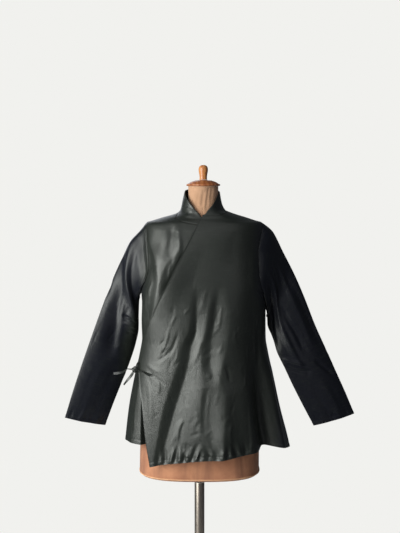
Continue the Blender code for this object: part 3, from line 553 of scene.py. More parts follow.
NECK_BACK = (Level(0.0, 1.4065), Level(45.0, 1.408), Level(90.0, 1.408), Level(135.0, 1.405),
             Level(180.0, 1.4005))
Fold = namedtuple("Fold", "high_turn high_z low_turn low_z width out")
FOLDS_OVER = (
    Fold(-60.0, 1.010, -63.0, 0.760, 13.0, 0.007), Fold(-41.0, 1.030, -44.5, 0.740, 17.5, -0.040),
)
FOLDS_UNDER = (
    Fold(-126.0, 0.930, -127.0, 0.760, 34.0, -0.014), Fold(-163.0, 1.000, -164.0, 0.760, 12.0, -0.004),
    Fold(-84.0, 1.180, -84.0, 0.820, 42.0, -0.014),
)
FOLDS_BACK = (
    Fold(38.0, 1.030, 33.0, 0.740, 15.0, -0.026), Fold(58.0, 1.020, 56.0, 0.760, 12.0, 0.008),
    Fold(80.0, 1.000, 78.0, 0.760, 11.0, -0.009), Fold(104.0, 1.060, 106.0, 0.760, 12.0, 0.008),
    Fold(128.0, 1.000, 130.0, 0.760, 12.0, -0.012), Fold(150.0, 0.960, 151.0, 0.760, 11.0, 0.007),
)
body_surface = ring_surface(BODY)
wrap_x = smooth(WRAP_EDGE)


def turn_at(x, z):
    """Degrees round the body, to either side of its left end, to the place with this x at height z."""
    left, right, power = (body_surface.tables[name](z) for name in ("left", "right", "power"))
    share = np.clip((x - (left + right) / 2) / ((right - left) / 2), -1.0, 1.0)
    return np.degrees(np.arccos(np.copysign(np.abs(share) ** (power / 2), share)))


def bulge(folds, turn, z):
    """How far the largest folds push the cloth out at places on the body."""
    total = 0.0 * turn
    for fold in folds:
        along = (fold.high_z - z) / (fold.high_z - fold.low_z)
        off = (turn - mix(fold.high_turn, fold.low_turn, along)) / fold.width
        height = fold.out * ease(along) * (1 + np.cos(np.pi * off)) / 2
        total += np.where((along > 0) & (np.abs(off) < 1), height, 0)
    return total


def back_edge(turn, z):
    """The back's surface, on which all cut edges of the body lie."""
    place, out = body_surface(turn, z)
    return place + out * bulge(FOLDS_BACK, turn, z)[..., None]


def shifted(turn, z, distance):
    """The turn that lies this distance further round the body."""
    per_degree = np.linalg.norm(back_edge(turn + 0.5, z) - back_edge(turn - 0.5, z), axis=-1)
    return turn + distance / per_degree


def armhole(rows, angle, front):
    """Turn and height on the front or back of an armhole. Angle 0 is its top and 180 its bottom."""
    low, high = rows[0].z, rows[-1].z
    z = (low + high) / 2 + (high - low) / 2 * np.cos(np.radians(angle))
    return turn_at(smooth(rows)(z), z) * np.where(front, -1, 1), z


def level_edge(rows, first, last):
    """An edge that follows a table of levels from one turn to another."""
    return lambda t: (mix(first, last, t), smooth(rows)(mix(first, last, t)))


def shoulder_edge(turn, z_from, z_to, gap):
    """A shoulder seam, which stays at one turn while its height changes."""
    return lambda t: (shifted(turn + 0 * t, mix(z_from, z_to, t), gap), mix(z_from, z_to, t))


def free_edge(rows):
    """A front's free edge, at an x for each height, on the front of the body."""
    def at(t):
        z = mix(rows[0].z, rows[-1].z, t)
        return -turn_at(smooth(rows)(z), z), z
    return at


def joined(share, first, second):
    """An edge made of two edges, the first of which takes this share of it."""
    def at(t):
        one, two = first(np.clip(t / share, 0, 1)), second(np.clip((t - share) / (1 - share), 0, 1))
        return tuple(np.where(t < share, a, b) for a, b in zip(one, two))
    return at


def side_edge(turn, hem_z, rows, front, share, gap):
    """A panel's side: the side seam up to the armhole, then round that to the shoulder seam."""
    def seam(t):
        z = mix(hem_z, rows[0].z, t)
        return shifted(turn + 0 * t, z, gap), z

    def hole(t):
        place, z = armhole(rows, 180.0 * (1 - t), front)
        at_ends = ease(1 - 5 * t) + ease(5 * t - 4)
        return shifted(place, z, gap * at_ends), z

    return joined(share, seam, hole)


def spaced(corners, counts, crowding=1.0):
    """Shares from 0 to 1 with a row at each corner, and the rows of the first stretch crowded to its start."""
    stretches = [np.linspace(0, 1, count + 1)[:-1] for count in counts]
    stretches[0] = stretches[0] ** crowding
    ends = [0.0, *corners, 1.0]
    return np.concatenate([mix(a, b, t) for a, b, t in zip(ends, ends[1:], stretches)] + [[1.0]])


def patch(low, high, start, end, across, up):
    """Turns and heights over a panel between its four cut edges. Beside an armhole they keep clear of it."""
    u, v = np.meshgrid(across, up)
    one, zero = np.ones(1), np.zeros(1)
    grids = []
    for axis, weight in ((0, v ** 6), (1, v)):
        from_low = low(u)[axis] - mix(low(zero)[axis], low(one)[axis], u)
        from_high = high(u)[axis] - mix(high(zero)[axis], high(one)[axis], u)
        grids.append(mix(start(v)[axis], end(v)[axis], u) + mix(from_low, from_high, weight))
    return grids


# Real distances round the body at each height, from the middle of the front.
LEVELS, TURNS = np.linspace(BODY[0].z, BODY[-1].z, 120), np.linspace(-200.0, 290.0, 981)
level_grid = body_surface(*np.meshgrid(TURNS, LEVELS))[0]
steps_round = np.linalg.norm(np.diff(level_grid, axis=1), axis=-1)
RUN = np.concatenate((np.zeros((len(LEVELS), 1)), np.cumsum(steps_round, axis=1)), axis=1)
RUN -= RUN[:, [int(np.argmin(np.abs(TURNS + 90.0)))]]


def run_at(turn, z):
    """Metres round the body from the middle of the front, to the wearer's left."""
    row = np.clip((z - LEVELS[0]) / (LEVELS[1] - LEVELS[0]), 0, len(LEVELS) - 1.001)
    column = np.clip((turn - TURNS[0]) / (TURNS[1] - TURNS[0]), 0, len(TURNS) - 1.001)
    i, j = row.astype(int), column.astype(int)
    low = mix(RUN[i, j], RUN[i, j + 1], column - j)
    high = mix(RUN[i + 1, j], RUN[i + 1, j + 1], column - j)
    return mix(low, high, row - i)


class Crease:
    """A soft ridge or trough along a smooth line through its path's (across, up) places, in metres.

    Its width goes from `wide` to `end` along the path. Lean makes one side the wider: the side of greater
    `across` where the path's `up` falls, and of lesser `across` where it rises. Crisp turns its round top into
    a paper-like edge, and run_out keeps its last end at full height.
    """
    FADE = 0.3              # the share of its length over which an end dies out

    def __init__(self, path, wide, out, end=None, lean=0.0, crisp=0.35, run_out=False):
        knots = np.array(path, float)
        steps = np.linspace(0, len(knots) - 1, 5 * (len(knots) - 1) + 1)
        self.points = np.stack([smooth(list(enumerate(knots[:, axis])))(steps) for axis in (0, 1)], -1)
        self.wide, self.end, self.out = wide, end or wide, out
        self.lean, self.crisp, self.run_out = lean, crisp, run_out

    def height(self, across, up, girth=None):
        reach = 2 * max(self.wide, self.end)
        low, high = self.points.min(axis=0) - reach, self.points.max(axis=0) + reach
        near = (up > low[1]) & (up < high[1])
        if girth is None:
            near &= (across > low[0]) & (across < high[0])
        else:
            girth = np.broadcast_to(girth, across.shape)[near]
        total = np.zeros(across.shape)
        across, up = across[near], up[near]
        nearest = np.full(across.shape, 9.0)
        side, share = np.zeros(across.shape), np.zeros(across.shape)
        count = len(self.points) - 1
        for i, (one, two) in enumerate(zip(self.points, self.points[1:])):
            step = two - one
            x, y = across - one[0], up - one[1]
            if girth is not None:
                x = (x + girth / 2) % girth - girth / 2
            t = np.clip((x * step[0] + y * step[1]) / (step @ step), 0, 1)
            distance = np.hypot(x - t * step[0], y - t * step[1])
            closer = distance < nearest
            nearest = np.where(closer, distance, nearest)
            side = np.where(closer, np.sign(step[0] * y - step[1] * x), side)
            share = np.where(closer, (i + t) / count, share)
        half = mix(self.wide, self.end, share) / 2 * (1 + self.lean * side)
        off = np.minimum(nearest / half, 1.0)
        bell = (1 + np.cos(np.pi * off)) / 2
        edge = np.maximum(1.0 - np.sqrt(off * off + 0.004), 0.0) ** 1.7
        fade = ease(share / self.FADE) * (1 if self.run_out else ease((1 - share) / self.FADE))
        total[near] = self.out * mix(bell, edge, self.crisp) * fade
        return total


CRUMPLE_LENGTH, CRUMPLE_WIDTH, CRUMPLE_RISE = (0.020, 0.060), (0.009, 0.018), (0.0004, 0.0011)
CRUMPLE_SCATTER, CRUMPLE_BOW = 20.0, 0.15       # degrees, and a share of its length


def crumples(seed, count, across, up, slant):
    """Many small creases at random between these (across, up) bounds, about this many degrees off plumb."""
    draw = random.Random(seed)
    made = []
    for _ in range(count):
        x, y = draw.uniform(*across), draw.uniform(*up)
        length, angle = draw.uniform(*CRUMPLE_LENGTH), math.radians(draw.gauss(slant, CRUMPLE_SCATTER))
        dx, dy = length / 2 * math.sin(angle), length / 2 * math.cos(angle)
        bow = length * draw.uniform(-CRUMPLE_BOW, CRUMPLE_BOW)
        out = draw.choice((-1, 1)) * draw.uniform(*CRUMPLE_RISE)
        path = ((x + dx, y + dy), (x + bow, y), (x - dx, y - dy))
        made.append(Crease(path, draw.uniform(*CRUMPLE_WIDTH), out, crisp=0.6))
    return tuple(made)


def creased(creases, across, up, girth=None):
    return sum(crease.height(across, up, girth) for crease in creases)


def lengths_along(place, axis):
    """Distances along the rows or columns of a grid of places, from its first."""
    steps = np.linalg.norm(np.diff(place, axis=axis), axis=-1)
    start = np.zeros_like(np.take(steps, [0], axis=axis))
    return np.concatenate((start, np.cumsum(steps, axis=axis)), axis=axis)


def outward(place):
    """The way out from each place of a grid whose columns run round to the wearer's left, rows up."""
    out = np.cross(np.gradient(place, axis=1), np.gradient(place, axis=0))
    return out / np.maximum(np.linalg.norm(out, axis=-1, keepdims=True), 1e-12)


def cloth_piece(name, outer, inward, flat_x, flat_y, closed=False):
    """A closed thin shell of cloth: its outside, an inside lying this way in, and its flat map in metres."""
    rows, columns = outer.shape[:2]
    inside = rows * columns
    points = np.concatenate((outer.reshape(-1, 3), (outer + inward * CLOTH).reshape(-1, 3)))
    corners = []
    for row in range(rows - 1):
        for column in range(columns if closed else columns - 1):
            square = ((row, column), (row, column + 1), (row + 1, column + 1), (row + 1, column))
            corners.append([(0, *corner) for corner in square])
            corners.append([(1, *corner) for corner in reversed(square)])
    last = columns if closed else columns - 1
    rims = [[(0, column) for column in range(last + 1)],
            [(rows - 1, column) for column in range(last, -1, -1)]]
    if not closed:
        rims += [[(row, last) for row in range(rows)], [(row, 0) for row in range(rows - 1, -1, -1)]]
    for rim in rims:
        corners += [[(1, *one), (1, *two), (0, *two), (0, *one)] for one, two in zip(rim, rim[1:])]
    faces = [[layer * inside + r * columns + c % columns for layer, r, c in face] for face in corners]
    flat = [(flat_x[r, c], flat_y[r, c]) for face in corners for layer, r, c in face]
    return new_piece(name, points, faces, flat)


# Taffeta: 40 fine threads a centimetre, drawn at 1.1 mm so that they show, with the slubs of a spun weft. The
# warp is black and the weft bottle green, which gives a cool shine over a near-black cloth.
THREAD = 0.0011
CALM_CHEST = (0.09, -0.11, 1.30)        # the cloth is least crinkled here, at the left breast
taffeta, tree, shader = new_finish("black_green_taffeta")
flat = add(tree, "ShaderNodeUVMap", uv_map="flat").outputs["UV"]
place = add(tree, "ShaderNodeTexCoord").outputs["Object"]
warp, weft = (add(tree, "ShaderNodeTexWave", {"Vector": flat, "Scale": WAVE / THREAD, "Distortion": 0.6,
                                              "Detail": 1.0}, bands_direction=axis)
              for axis in "XY")
threads = add(tree, "ShaderNodeMath", {0: warp.outputs["Fac"], 1: weft.outputs["Fac"]}, operation="ADD")
slub_at = add(tree, "ShaderNodeMapping", {"Vector": flat, "Scale": (22.0, 620.0, 1.0)})
slub = add(tree, "ShaderNodeTexNoise", {"Vector": slub_at.outputs[0], "Scale": 1.0, "Detail": 2.0})
slub_on = add(tree, "ShaderNodeMapRange", {"Value": slub.outputs[0], "From Min": 0.56, "From Max": 0.78})
crinkle_at = add(tree, "ShaderNodeMapping", {"Vector": flat, "Scale": (44.0, 30.0, 1.0),
                                             "Rotation": (0, 0, 0.35)})
crinkle = add(tree, "ShaderNodeTexNoise", {"Vector": crinkle_at.outputs[0], "Scale": 1.0, "Detail": 1.5,
                                           "Roughness": 0.45, "Distortion": 0.8})
cast = add(tree, "ShaderNodeTexNoise", {"Vector": place, "Scale": 7.0, "Detail": 3.0})
dye = add(tree, "ShaderNodeMix", {0: cast.outputs[0], 6: tint("#131613"), 7: tint("#1b1f1b")},
          data_type="RGBA")
# Painted navy shade: far out to either side, the dye is mixed towards dark navy to stand in for the blue
# shadow on the sleeves and the flared sides. The body itself flares lower down.
parts = add(tree, "ShaderNodeSeparateXYZ", {"Vector": place})
width = add(tree, "ShaderNodeMath", {0: parts.outputs["X"]}, operation="ABSOLUTE")
flare = add(tree, "ShaderNodeMapRange", {"Value": parts.outputs["Z"], "From Min": 1.00, "From Max": 1.16,
                                         "To Min": 0.070, "To Max": 0.0})
beyond = add(tree, "ShaderNodeMath", {0: width.outputs[0], 1: flare.outputs[0]}, operation="SUBTRACT")
painted_navy_shade = add(tree, "ShaderNodeMapRange", {"Value": beyond.outputs[0], "From Min": 0.156, "From Max": 0.186})
# Here the painted navy shade is mixed into the cloth's dye.
dye_and_painted_shade = add(tree, "ShaderNodeMix", {0: painted_navy_shade.outputs[0], 6: dye.outputs[2], 7: tint("#0c0e17")},
          data_type="RGBA")
colour = add(tree, "ShaderNodeMix", {0: slub_on.outputs[0], 6: dye_and_painted_shade.outputs[2], 7: tint("#232723")},
             data_type="RGBA")
weave_bump = add(tree, "ShaderNodeBump", {"Height": threads.outputs[0], "Distance": 0.00012, "Strength": 0.35})
slub_bump = add(tree, "ShaderNodeBump", {"Height": slub_on.outputs[0], "Distance": 0.00015, "Strength": 0.5,
                                         "Normal": weave_bump.outputs[0]})
from_chest = add(tree, "ShaderNodeVectorMath", {0: place, 1: CALM_CHEST}, operation="DISTANCE")
crinkled = add(tree, "ShaderNodeMapRange", {"Value": from_chest.outputs["Value"], "From Min": 0.12,
                                            "From Max": 0.30, "To Min": 0.0006, "To Max": 0.0012})
crinkle_bump = add(tree, "ShaderNodeBump", {"Height": crinkle.outputs[0], "Distance": crinkled.outputs[0],
                                            "Strength": 0.5, "Normal": slub_bump.outputs[0]})
rough = add(tree, "ShaderNodeMapRange", {"Value": cast.outputs[0], "To Min": 0.36, "To Max": 0.42})
tree.links.new(colour.outputs[2], shader.inputs["Base Color"])
tree.links.new(crinkle_bump.outputs[0], shader.inputs["Normal"])
tree.links.new(rough.outputs[0], shader.inputs["Roughness"])
shader.inputs["IOR"].default_value = 1.54
shader.inputs["Specular IOR Level"].default_value = 0.50
shader.inputs["Sheen Weight"].default_value = 0.05
shader.inputs["Sheen Roughness"].default_value = 0.35
shader.inputs["Sheen Tint"].default_value = tint("#b9c1bb")

HEM_DEPTH = 0.013           # a double turned hem, sewn along its upper fold
HEM_RISE, HEM_SEWN = 0.0003, 0.0005     # how far its layers stand out, and its sewing draws in
SEAM_ROLL, SEAM_SWELL = 0.0011, 0.0002  # how far cloth rolls in to a seam, and swells beside it


def hem_relief(height):
    """The turned-up hem stands out a little, and its sewing draws the cloth in."""
    layers = ease((HEM_DEPTH + 0.001 - height) / 0.003)
    return HEM_RISE * layers - HEM_SEWN * dent(height - HEM_DEPTH, 0.0026)


def seam_relief(distance):
    """Cloth rolls in to a seam, and swells a little beside it over the turnings."""
    return -SEAM_ROLL * dent(distance, 0.0035) + SEAM_SWELL * dent(distance - 0.0065, 0.004)


CREASES_CLEAR, PUCKERS_CLEAR, SWELL_CLEAR = 0.012, 0.020, 0.040       # how near a seam each dies out


def panel(node, base, out, push, across, up):
    """One panel of the jacket: its smooth base pushed out this far, with its flat map in metres."""
    outer = base + out * push[..., None]
    piece = cloth_piece("jacket_" + node, outer, -outward(outer), across, up)
    settle(piece, node, "taffeta", taffeta)
    return piece


# ---- The under front ---------------------------------------------------------------------------------------
# The wearer's right front. It is sewn in at the shoulder, armhole and side, and wraps beneath the other front,
# so only its chest and its side panel show. Hidden under the wrap it hangs further in.
CREASES_UNDER = (
    # from the shoulder's end
    Crease(((-0.190, 1.358), (-0.166, 1.306), (-0.140, 1.258), (-0.130, 1.205), (-0.140, 1.145),
            (-0.160, 1.083), (-0.180, 1.020)), 0.062, 0.0058, end=0.060, lean=0.2, crisp=0.5),
    Crease(((-0.096, 1.380), (-0.094, 1.337), (-0.097, 1.294), (-0.108, 1.255)), 0.060, -0.0048, end=0.050,
           lean=-0.25),
    Crease(((-0.082, 1.388), (-0.078, 1.350), (-0.070, 1.310), (-0.074, 1.270)), 0.018, 0.0022, end=0.026),
    Crease(((-0.098, 1.372), (-0.100, 1.320), (-0.112, 1.275)), 0.022, -0.0016, end=0.030),
    Crease(((-0.070, 1.384), (-0.056, 1.377), (-0.040, 1.370)), 0.010, -0.0016, crisp=0.6),
    Crease(((-0.072, 1.300), (-0.094, 1.256), (-0.112, 1.205), (-0.126, 1.150)), 0.026, -0.0024, end=0.034),
    Crease(((-0.150, 1.125), (-0.172, 1.100), (-0.200, 1.085)), 0.014, -0.0010),
    Crease(((-0.146, 1.062), (-0.170, 1.050), (-0.204, 1.046)), 0.012, 0.0010),
    Crease(((-0.172, 1.030), (-0.196, 1.008), (-0.214, 0.980)), 0.013, -0.0012),
    Crease(((-0.200, 0.955), (-0.214, 0.900), (-0.222, 0.820)), 0.020, 0.0016, end=0.030),
    Crease(((-0.232, 0.930), (-0.240, 0.850), (-0.248, 0.740)), 0.022, -0.0018, end=0.030, run_out=True),
    # turns in sharply under the flap
    Crease(((-0.199, 0.900), (-0.198, 0.868), (-0.1975, 0.840), (-0.1990, 0.800), (-0.2030, 0.750),
            (-0.2070, 0.690)), 0.046, -0.0190, lean=0.64, crisp=1.0, run_out=True),
)
HIDDEN_SINK, HIDDEN_HANG = 0.0013, 0.007


def beside_wrap(off, *levels):
    """A path beside the wrap's free edge, this far to its right, through these heights."""
    return tuple((float(run_at(-turn_at(wrap_x(z), z), np.array(z))) + off, z) for z in levels)


# Both fronts swell together over the bust's right side, under the wrap's edge, which lies flat across it.
CHEST_SWELL = Crease(beside_wrap(-0.044, 1.360, 1.320, 1.260, 1.200, 1.140, 1.090, 1.040, 0.990), 0.165,
                     0.0090, end=0.160, lean=0.25, crisp=0.0)
CREASES_UNDER += (
    Crease(beside_wrap(0.006, 1.305, 1.270, 1.235, 1.190, 1.140), 0.044, -0.0085, end=0.034, lean=-0.2),
) + crumples(3, 26, (-0.20, -0.05), (0.78, 1.36), 20.0)

hidden = free_edge(HIDDEN_EDGE)
one, zero = np.ones(1), np.zeros(1)
neck_corner, arm_corner = 1 - 6 / 22, 1 - 10 / 22
turn, z = patch(
    low=level_edge(HEM_UNDER, shifted(np.array(-180.0), np.array(HEM_UNDER[0].z), SEAM / 2),
                   hidden(zero)[0][0]),
    high=shoulder_edge(-180.0, ARMHOLE_RIGHT[-1].z, NECK_UNDER[0].z, SEAM / 2),
    start=side_edge(-180.0, HEM_UNDER[0].z, ARMHOLE_RIGHT, True, arm_corner, SEAM / 2),
    end=joined(neck_corner, hidden, level_edge(
        NECK_UNDER, hidden(one)[0][0], shifted(np.array(-180.0), np.array(NECK_UNDER[0].z), SEAM / 2))),
    across=spaced((), (104,)), up=spaced((arm_corner, neck_corner), (92, 28, 36), 1.35))
base, out = body_surface(turn, z)
across, up = run_at(turn, z), z
from_wrap = turn + turn_at(wrap_x(z), z)
u_length, v_length = lengths_along(base, 1), lengths_along(base, 0)
to_side, to_top = u_length, v_length[-1:] - v_length
to_neck = np.where(v_length / v_length[-1:] > neck_corner, u_length[:, -1:] - u_length, 1.0)
near_seam = np.minimum(np.minimum(to_side, to_top), to_neck)
push = bulge(FOLDS_UNDER, turn, z) - HIDDEN_SINK * ease((from_wrap - 1) / 5)
push -= HIDDEN_HANG * ease((from_wrap - 5) / 16) * ease((1.27 - z) / 0.10)
push += creased(CREASES_UNDER, across, up) * ease(near_seam / CREASES_CLEAR) * ease((8 - from_wrap) / 8)
push += CHEST_SWELL.height(across, up) * ease(near_seam / SWELL_CLEAR)
push += hem_relief(v_length) + seam_relief(near_seam)
front_under = panel("front_under", base, out, push, across, up)

# ---- The over front ----------------------------------------------------------------------------------------
# The wearer's left front crosses the body from the throat to the right hip. Pulled towards its tie, it breaks
# into long slanting folds below the bust, then falls in deep pleats. Its left end flares behind a sharp turn.

# The pleats are a loft between lines down the cloth: at each height, its metres from the middle and its rise.
# They climb slowly towards the wearer's left, and drop sharply behind their crests.
Line = namedtuple("Line", "z across out")
PLEATS_OVER = (
    # the wrap's edge, which stands off
    (Line(1.330, -0.040, 0.0020), Line(1.250, -0.075, 0.0060), Line(1.200, -0.097, 0.0090),
     Line(1.150, -0.117, 0.0100), Line(1.089, -0.140, 0.0090), Line(1.011, -0.168, 0.0068),
     Line(0.964, -0.180, 0.0046), Line(0.890, -0.182, 0.0050), Line(0.818, -0.180, 0.0052),
     Line(0.740, -0.177, 0.0044), Line(0.662, -0.174, 0.0030)),
    # the crest of the pleat that runs down from the bust to the tie's side
    (Line(1.330, 0.004, 0.0), Line(1.200, -0.030, 0.0), Line(1.150, -0.036, 0.0028),
     Line(1.106, -0.040, 0.0040), Line(1.062, -0.045, 0.0036), Line(1.011, -0.066, 0.0024),
     Line(0.957, -0.078, 0.0018), Line(0.897, -0.098, 0.0018), Line(0.836, -0.118, 0.0026),
     Line(0.776, -0.134, 0.0030), Line(0.669, -0.162, 0.0020)),
    # the hollow behind it
    (Line(1.330, 0.008, 0.0), Line(1.200, -0.022, 0.0), Line(1.150, -0.022, -0.0008),
     Line(1.106, -0.022, -0.0018), Line(1.062, -0.026, -0.0040), Line(1.003, -0.042, -0.0075),
     Line(0.950, -0.050, -0.0085), Line(0.889, -0.068, -0.0085), Line(0.808, -0.094, -0.0080),
     Line(0.729, -0.121, -0.0070), Line(0.663, -0.148, -0.0050)),
    # the middle pleat's crest
    (Line(1.330, 0.040, 0.0), Line(1.200, 0.028, 0.0), Line(1.160, 0.022, 0.0024), Line(1.121, 0.015, 0.0046),
     Line(1.062, 0.006, 0.0048), Line(1.010, -0.004, 0.0034), Line(0.960, -0.006, 0.0036),
     Line(0.915, 0.000, 0.0062), Line(0.870, -0.004, 0.0092), Line(0.800, -0.006, 0.0118),
     Line(0.740, 0.000, 0.0155), Line(0.666, 0.004, 0.0175)),
    # the slight hollow behind that
    (Line(1.330, 0.046, 0.0), Line(1.200, 0.044, 0.0), Line(1.160, 0.038, -0.0004),
     Line(1.121, 0.032, -0.0012), Line(1.062, 0.024, -0.0008), Line(1.010, 0.016, -0.0004),
     Line(0.960, 0.016, 0.0008), Line(0.926, 0.022, 0.0070), Line(0.900, 0.014, 0.0090),
     Line(0.860, 0.012, 0.0104), Line(0.800, 0.010, 0.0130), Line(0.740, 0.012, 0.0172),
     Line(0.666, 0.014, 0.0190)),
    # the last and highest crest, from the bust's point to the hem
    (Line(1.330, 0.050, 0.0), Line(1.205, 0.062, 0.0), Line(1.165, 0.068, 0.0044), Line(1.106, 0.073, 0.0095),
     Line(1.061, 0.071, 0.0110), Line(1.017, 0.066, 0.0122), Line(0.959, 0.054, 0.0132),
     Line(0.915, 0.050, 0.0160), Line(0.870, 0.060, 0.0205), Line(0.796, 0.058, 0.0265),
     Line(0.737, 0.050, 0.0300), Line(0.666, 0.040, 0.0290)),
    # its foot
    (Line(1.330, 0.130, 0.0), Line(1.058, 0.150, 0.0), Line(0.897, 0.130, 0.0), Line(0.666, 0.124, 0.0)),
)
PLEAT_ROUNDING = 0.35       # how far the flanks are eased into their crests and hollows
STEEPEST = 0.004            # the least width of a flank


def lofted(lines, across, z):
    """How far pleats stand out: eased steps from each line to the next, and nothing beyond the outer ones."""
    places = [smooth([(line.z, line.across) for line in reversed(rows)])(np.clip(z, rows[-1].z, rows[0].z))
              for rows in lines]
    rises = [smooth([(line.z, line.out) for line in reversed(rows)])(np.clip(z, rows[-1].z, rows[0].z))
             for rows in lines]
    total = rises[0]
    for before, after, low, high in zip(places, places[1:], rises, rises[1:]):
        share = np.clip((across - before) / np.maximum(after - before, STEEPEST), 0, 1)
        total = total + (high - low) * mix(share, ease(share), PLEAT_ROUNDING)
    return total


CREASES_OVER = (
    # the pulls towards the tie
    Crease(((0.010, 1.186), (0.000, 1.150), (-0.008, 1.110)), 0.016, 0.0014, lean=-0.3),
    Crease(((-0.022, 1.160), (-0.026, 1.110), (-0.025, 1.062), (-0.030, 1.015)), 0.012, -0.0022, crisp=0.7),
    Crease(((0.050, 1.140), (0.046, 1.100), (0.040, 1.060)), 0.014, 0.0010),
    Crease(((-0.006, 1.040), (-0.016, 1.000), (-0.034, 0.950)), 0.020, 0.0016, lean=-0.3),
    # small crumples by the waist, and where the tie's corner draws the edge
    Crease(((-0.074, 1.060), (-0.090, 1.010), (-0.108, 0.975)), 0.016, -0.0016),
    Crease(((-0.100, 1.075), (-0.112, 1.020), (-0.132, 0.985)), 0.014, 0.0014),
    Crease(((-0.092, 1.012), (-0.118, 0.978), (-0.150, 0.962)), 0.014, -0.0014),
    Crease(((-0.118, 0.930), (-0.150, 0.942), (-0.182, 0.954)), 0.016, 0.0014, lean=0.3),
    Crease(((-0.106, 0.890), (-0.142, 0.915), (-0.176, 0.940)), 0.018, -0.0012),
    Crease(((-0.166, 0.905), (-0.160, 0.840), (-0.158, 0.770)), 0.026, 0.0014, end=0.034),
    Crease(((0.058, 0.960), (0.068, 0.940), (0.074, 0.905)), 0.018, -0.0030, crisp=0.7),
    Crease(((0.010, 0.896), (0.003, 0.860), (-0.003, 0.805), (-0.004, 0.745)), 0.015, -0.0026, crisp=0.6),
    Crease(((0.078, 0.790), (0.070, 0.755), (0.074, 0.725)), 0.016, 0.0020, lean=-0.4, crisp=0.7),
    Crease(((-0.060, 0.800), (-0.078, 0.765), (-0.086, 0.725)), 0.022, 0.0024, lean=-0.4),
    # the quiet chest
    Crease(((0.100, 1.360), (0.082, 1.300), (0.072, 1.240)), 0.050, -0.0012, end=0.060),
    Crease(((0.150, 1.300), (0.152, 1.230), (0.150, 1.160)), 0.040, 0.0014, end=0.050),
    # the left end, behind the sharp turn
    Crease(((0.168, 1.080), (0.174, 1.000), (0.176, 0.920)), 0.026, -0.0022, end=0.034),
    Crease(((0.214, 0.980), (0.232, 0.880), (0.246, 0.760), (0.250, 0.690)), 0.034, 0.0042, end=0.044,
           run_out=True),
    Crease(((0.250, 0.940), (0.276, 0.840), (0.296, 0.740), (0.300, 0.680)), 0.030, -0.0038, end=0.040,
           run_out=True),
) + crumples(11, 56, (-0.17, 0.075), (0.70, 1.12), 22.0) + crumples(12, 16, (0.07, 0.20), (0.70, 1.15), 5.0)
# Where the hem's sewing puckers the front: metres from the middle, rise above the hem, depth and slant.
Pucker = namedtuple("Pucker", "across rise out slant")
PUCKER_REACH = 0.0085
PUCKERS_OVER = (
    Pucker(-0.143, 0.060, 0.0016, 0.10), Pucker(-0.128, 0.052, -0.0018, 0.05),
    Pucker(-0.112, 0.046, 0.0020, 0.30), Pucker(-0.098, 0.058, -0.0016, 0.25),
    Pucker(-0.083, 0.038, 0.0018, 0.10), Pucker(-0.071, 0.048, -0.0022, 0.30),
    Pucker(-0.058, 0.034, 0.0018, -0.10), Pucker(-0.047, 0.056, -0.0022, 0.35),
    Pucker(-0.036, 0.040, 0.0020, 0.45), Pucker(-0.024, 0.034, -0.0018, 0.20),
    Pucker(-0.010, 0.050, 0.0014, -0.10), Pucker(0.004, 0.040, -0.0018, 0.05),
    Pucker(0.015, 0.052, 0.0018, -0.15), Pucker(0.030, 0.036, -0.0016, -0.10),
    Pucker(0.044, 0.044, 0.0018, 0.15), Pucker(0.058, 0.038, -0.0020, 0.10),
    Pucker(0.070, 0.050, 0.0018, -0.10), Pucker(0.086, 0.036, -0.0018, -0.25),
    Pucker(0.098, 0.048, 0.0016, -0.20), Pucker(0.113, 0.040, -0.0018, -0.10),
    Pucker(0.127, 0.034, 0.0012, 0.10),
)


def puckered(puckers, across, height):
    """Short troughs and ridges that rise from a sewn hem, deepest at its sewing."""
    total = 0.0 * across
    for pucker in puckers:
        off = (across - pucker.across - pucker.slant * height) / PUCKER_REACH
        reach = ease(1 - (height - HEM_DEPTH) / pucker.rise) * ease(height / HEM_DEPTH + 0.25)
        total += np.where(np.abs(off) < 1, pucker.out * reach * (1 + np.cos(np.pi * off)) / 2, 0)
    return total


EDGE_ROLL = 0.0009          # the wrap's edge is turned under twice, so it is rounder than the rest
HARD_DRAWN = 1.8            # the sewing of this front's hem draws it in harder than the others
THROAT = 1.389              # above this height the wrap's edge is sewn to the collar


def overlap_lift(turn):
    """How far the over front, and its end of the collar, are held off by the front beneath."""
    return OVERLAP_LIFT * ease((-35.0 - turn) / 30.0)


wrap = free_edge(WRAP_EDGE)
neck_corner, arm_corner = 1 - 6 / 28, 1 - 10 / 28
side_turn = shifted(np.array(0.0), np.array(HEM_OVER[-1].z), -SEAM / 2)
neck_turn = shifted(np.array(0.0), np.array(NECK_OVER[-1].z), -SEAM / 2)
turn, z = patch(
    low=level_edge(HEM_OVER, wrap(zero)[0][0], side_turn),
    high=shoulder_edge(0.0, NECK_OVER[-1].z, ARMHOLE_LEFT[-1].z, -SEAM / 2),
    start=joined(neck_corner, wrap, level_edge(NECK_OVER, wrap(one)[0][0], neck_turn)),
    end=side_edge(0.0, HEM_OVER[-1].z, ARMHOLE_LEFT, True, arm_corner, -SEAM / 2),
    across=spaced((), (172,)), up=spaced((arm_corner, neck_corner), (132, 28, 36), 1.4))
base, out = body_surface(turn, z)
across, up = run_at(turn, z), z
u_length, v_length = lengths_along(base, 1), lengths_along(base, 0)
to_side, to_top = u_length[:, -1:] - u_length, v_length[-1:] - v_length
to_neck = np.where(z > THROAT, u_length, 1.0)
near_seam = np.minimum(np.minimum(to_side, to_top), to_neck)
push = overlap_lift(turn) + bulge(FOLDS_OVER, turn, z) + EDGE_ROLL * dent(u_length, 0.0032)
push += CHEST_SWELL.height(across, up) * ease(near_seam / SWELL_CLEAR)
push += lofted(PLEATS_OVER, across, up) * ease((1.33 - z) / 0.12)
push += creased(CREASES_OVER, across, up) * ease(near_seam / CREASES_CLEAR)
push += HARD_DRAWN * puckered(PUCKERS_OVER, across, v_length) * ease(near_seam / PUCKERS_CLEAR)
push += hem_relief(v_length) + seam_relief(near_seam)
front_over = panel("front_over", base, out, push, across, up)

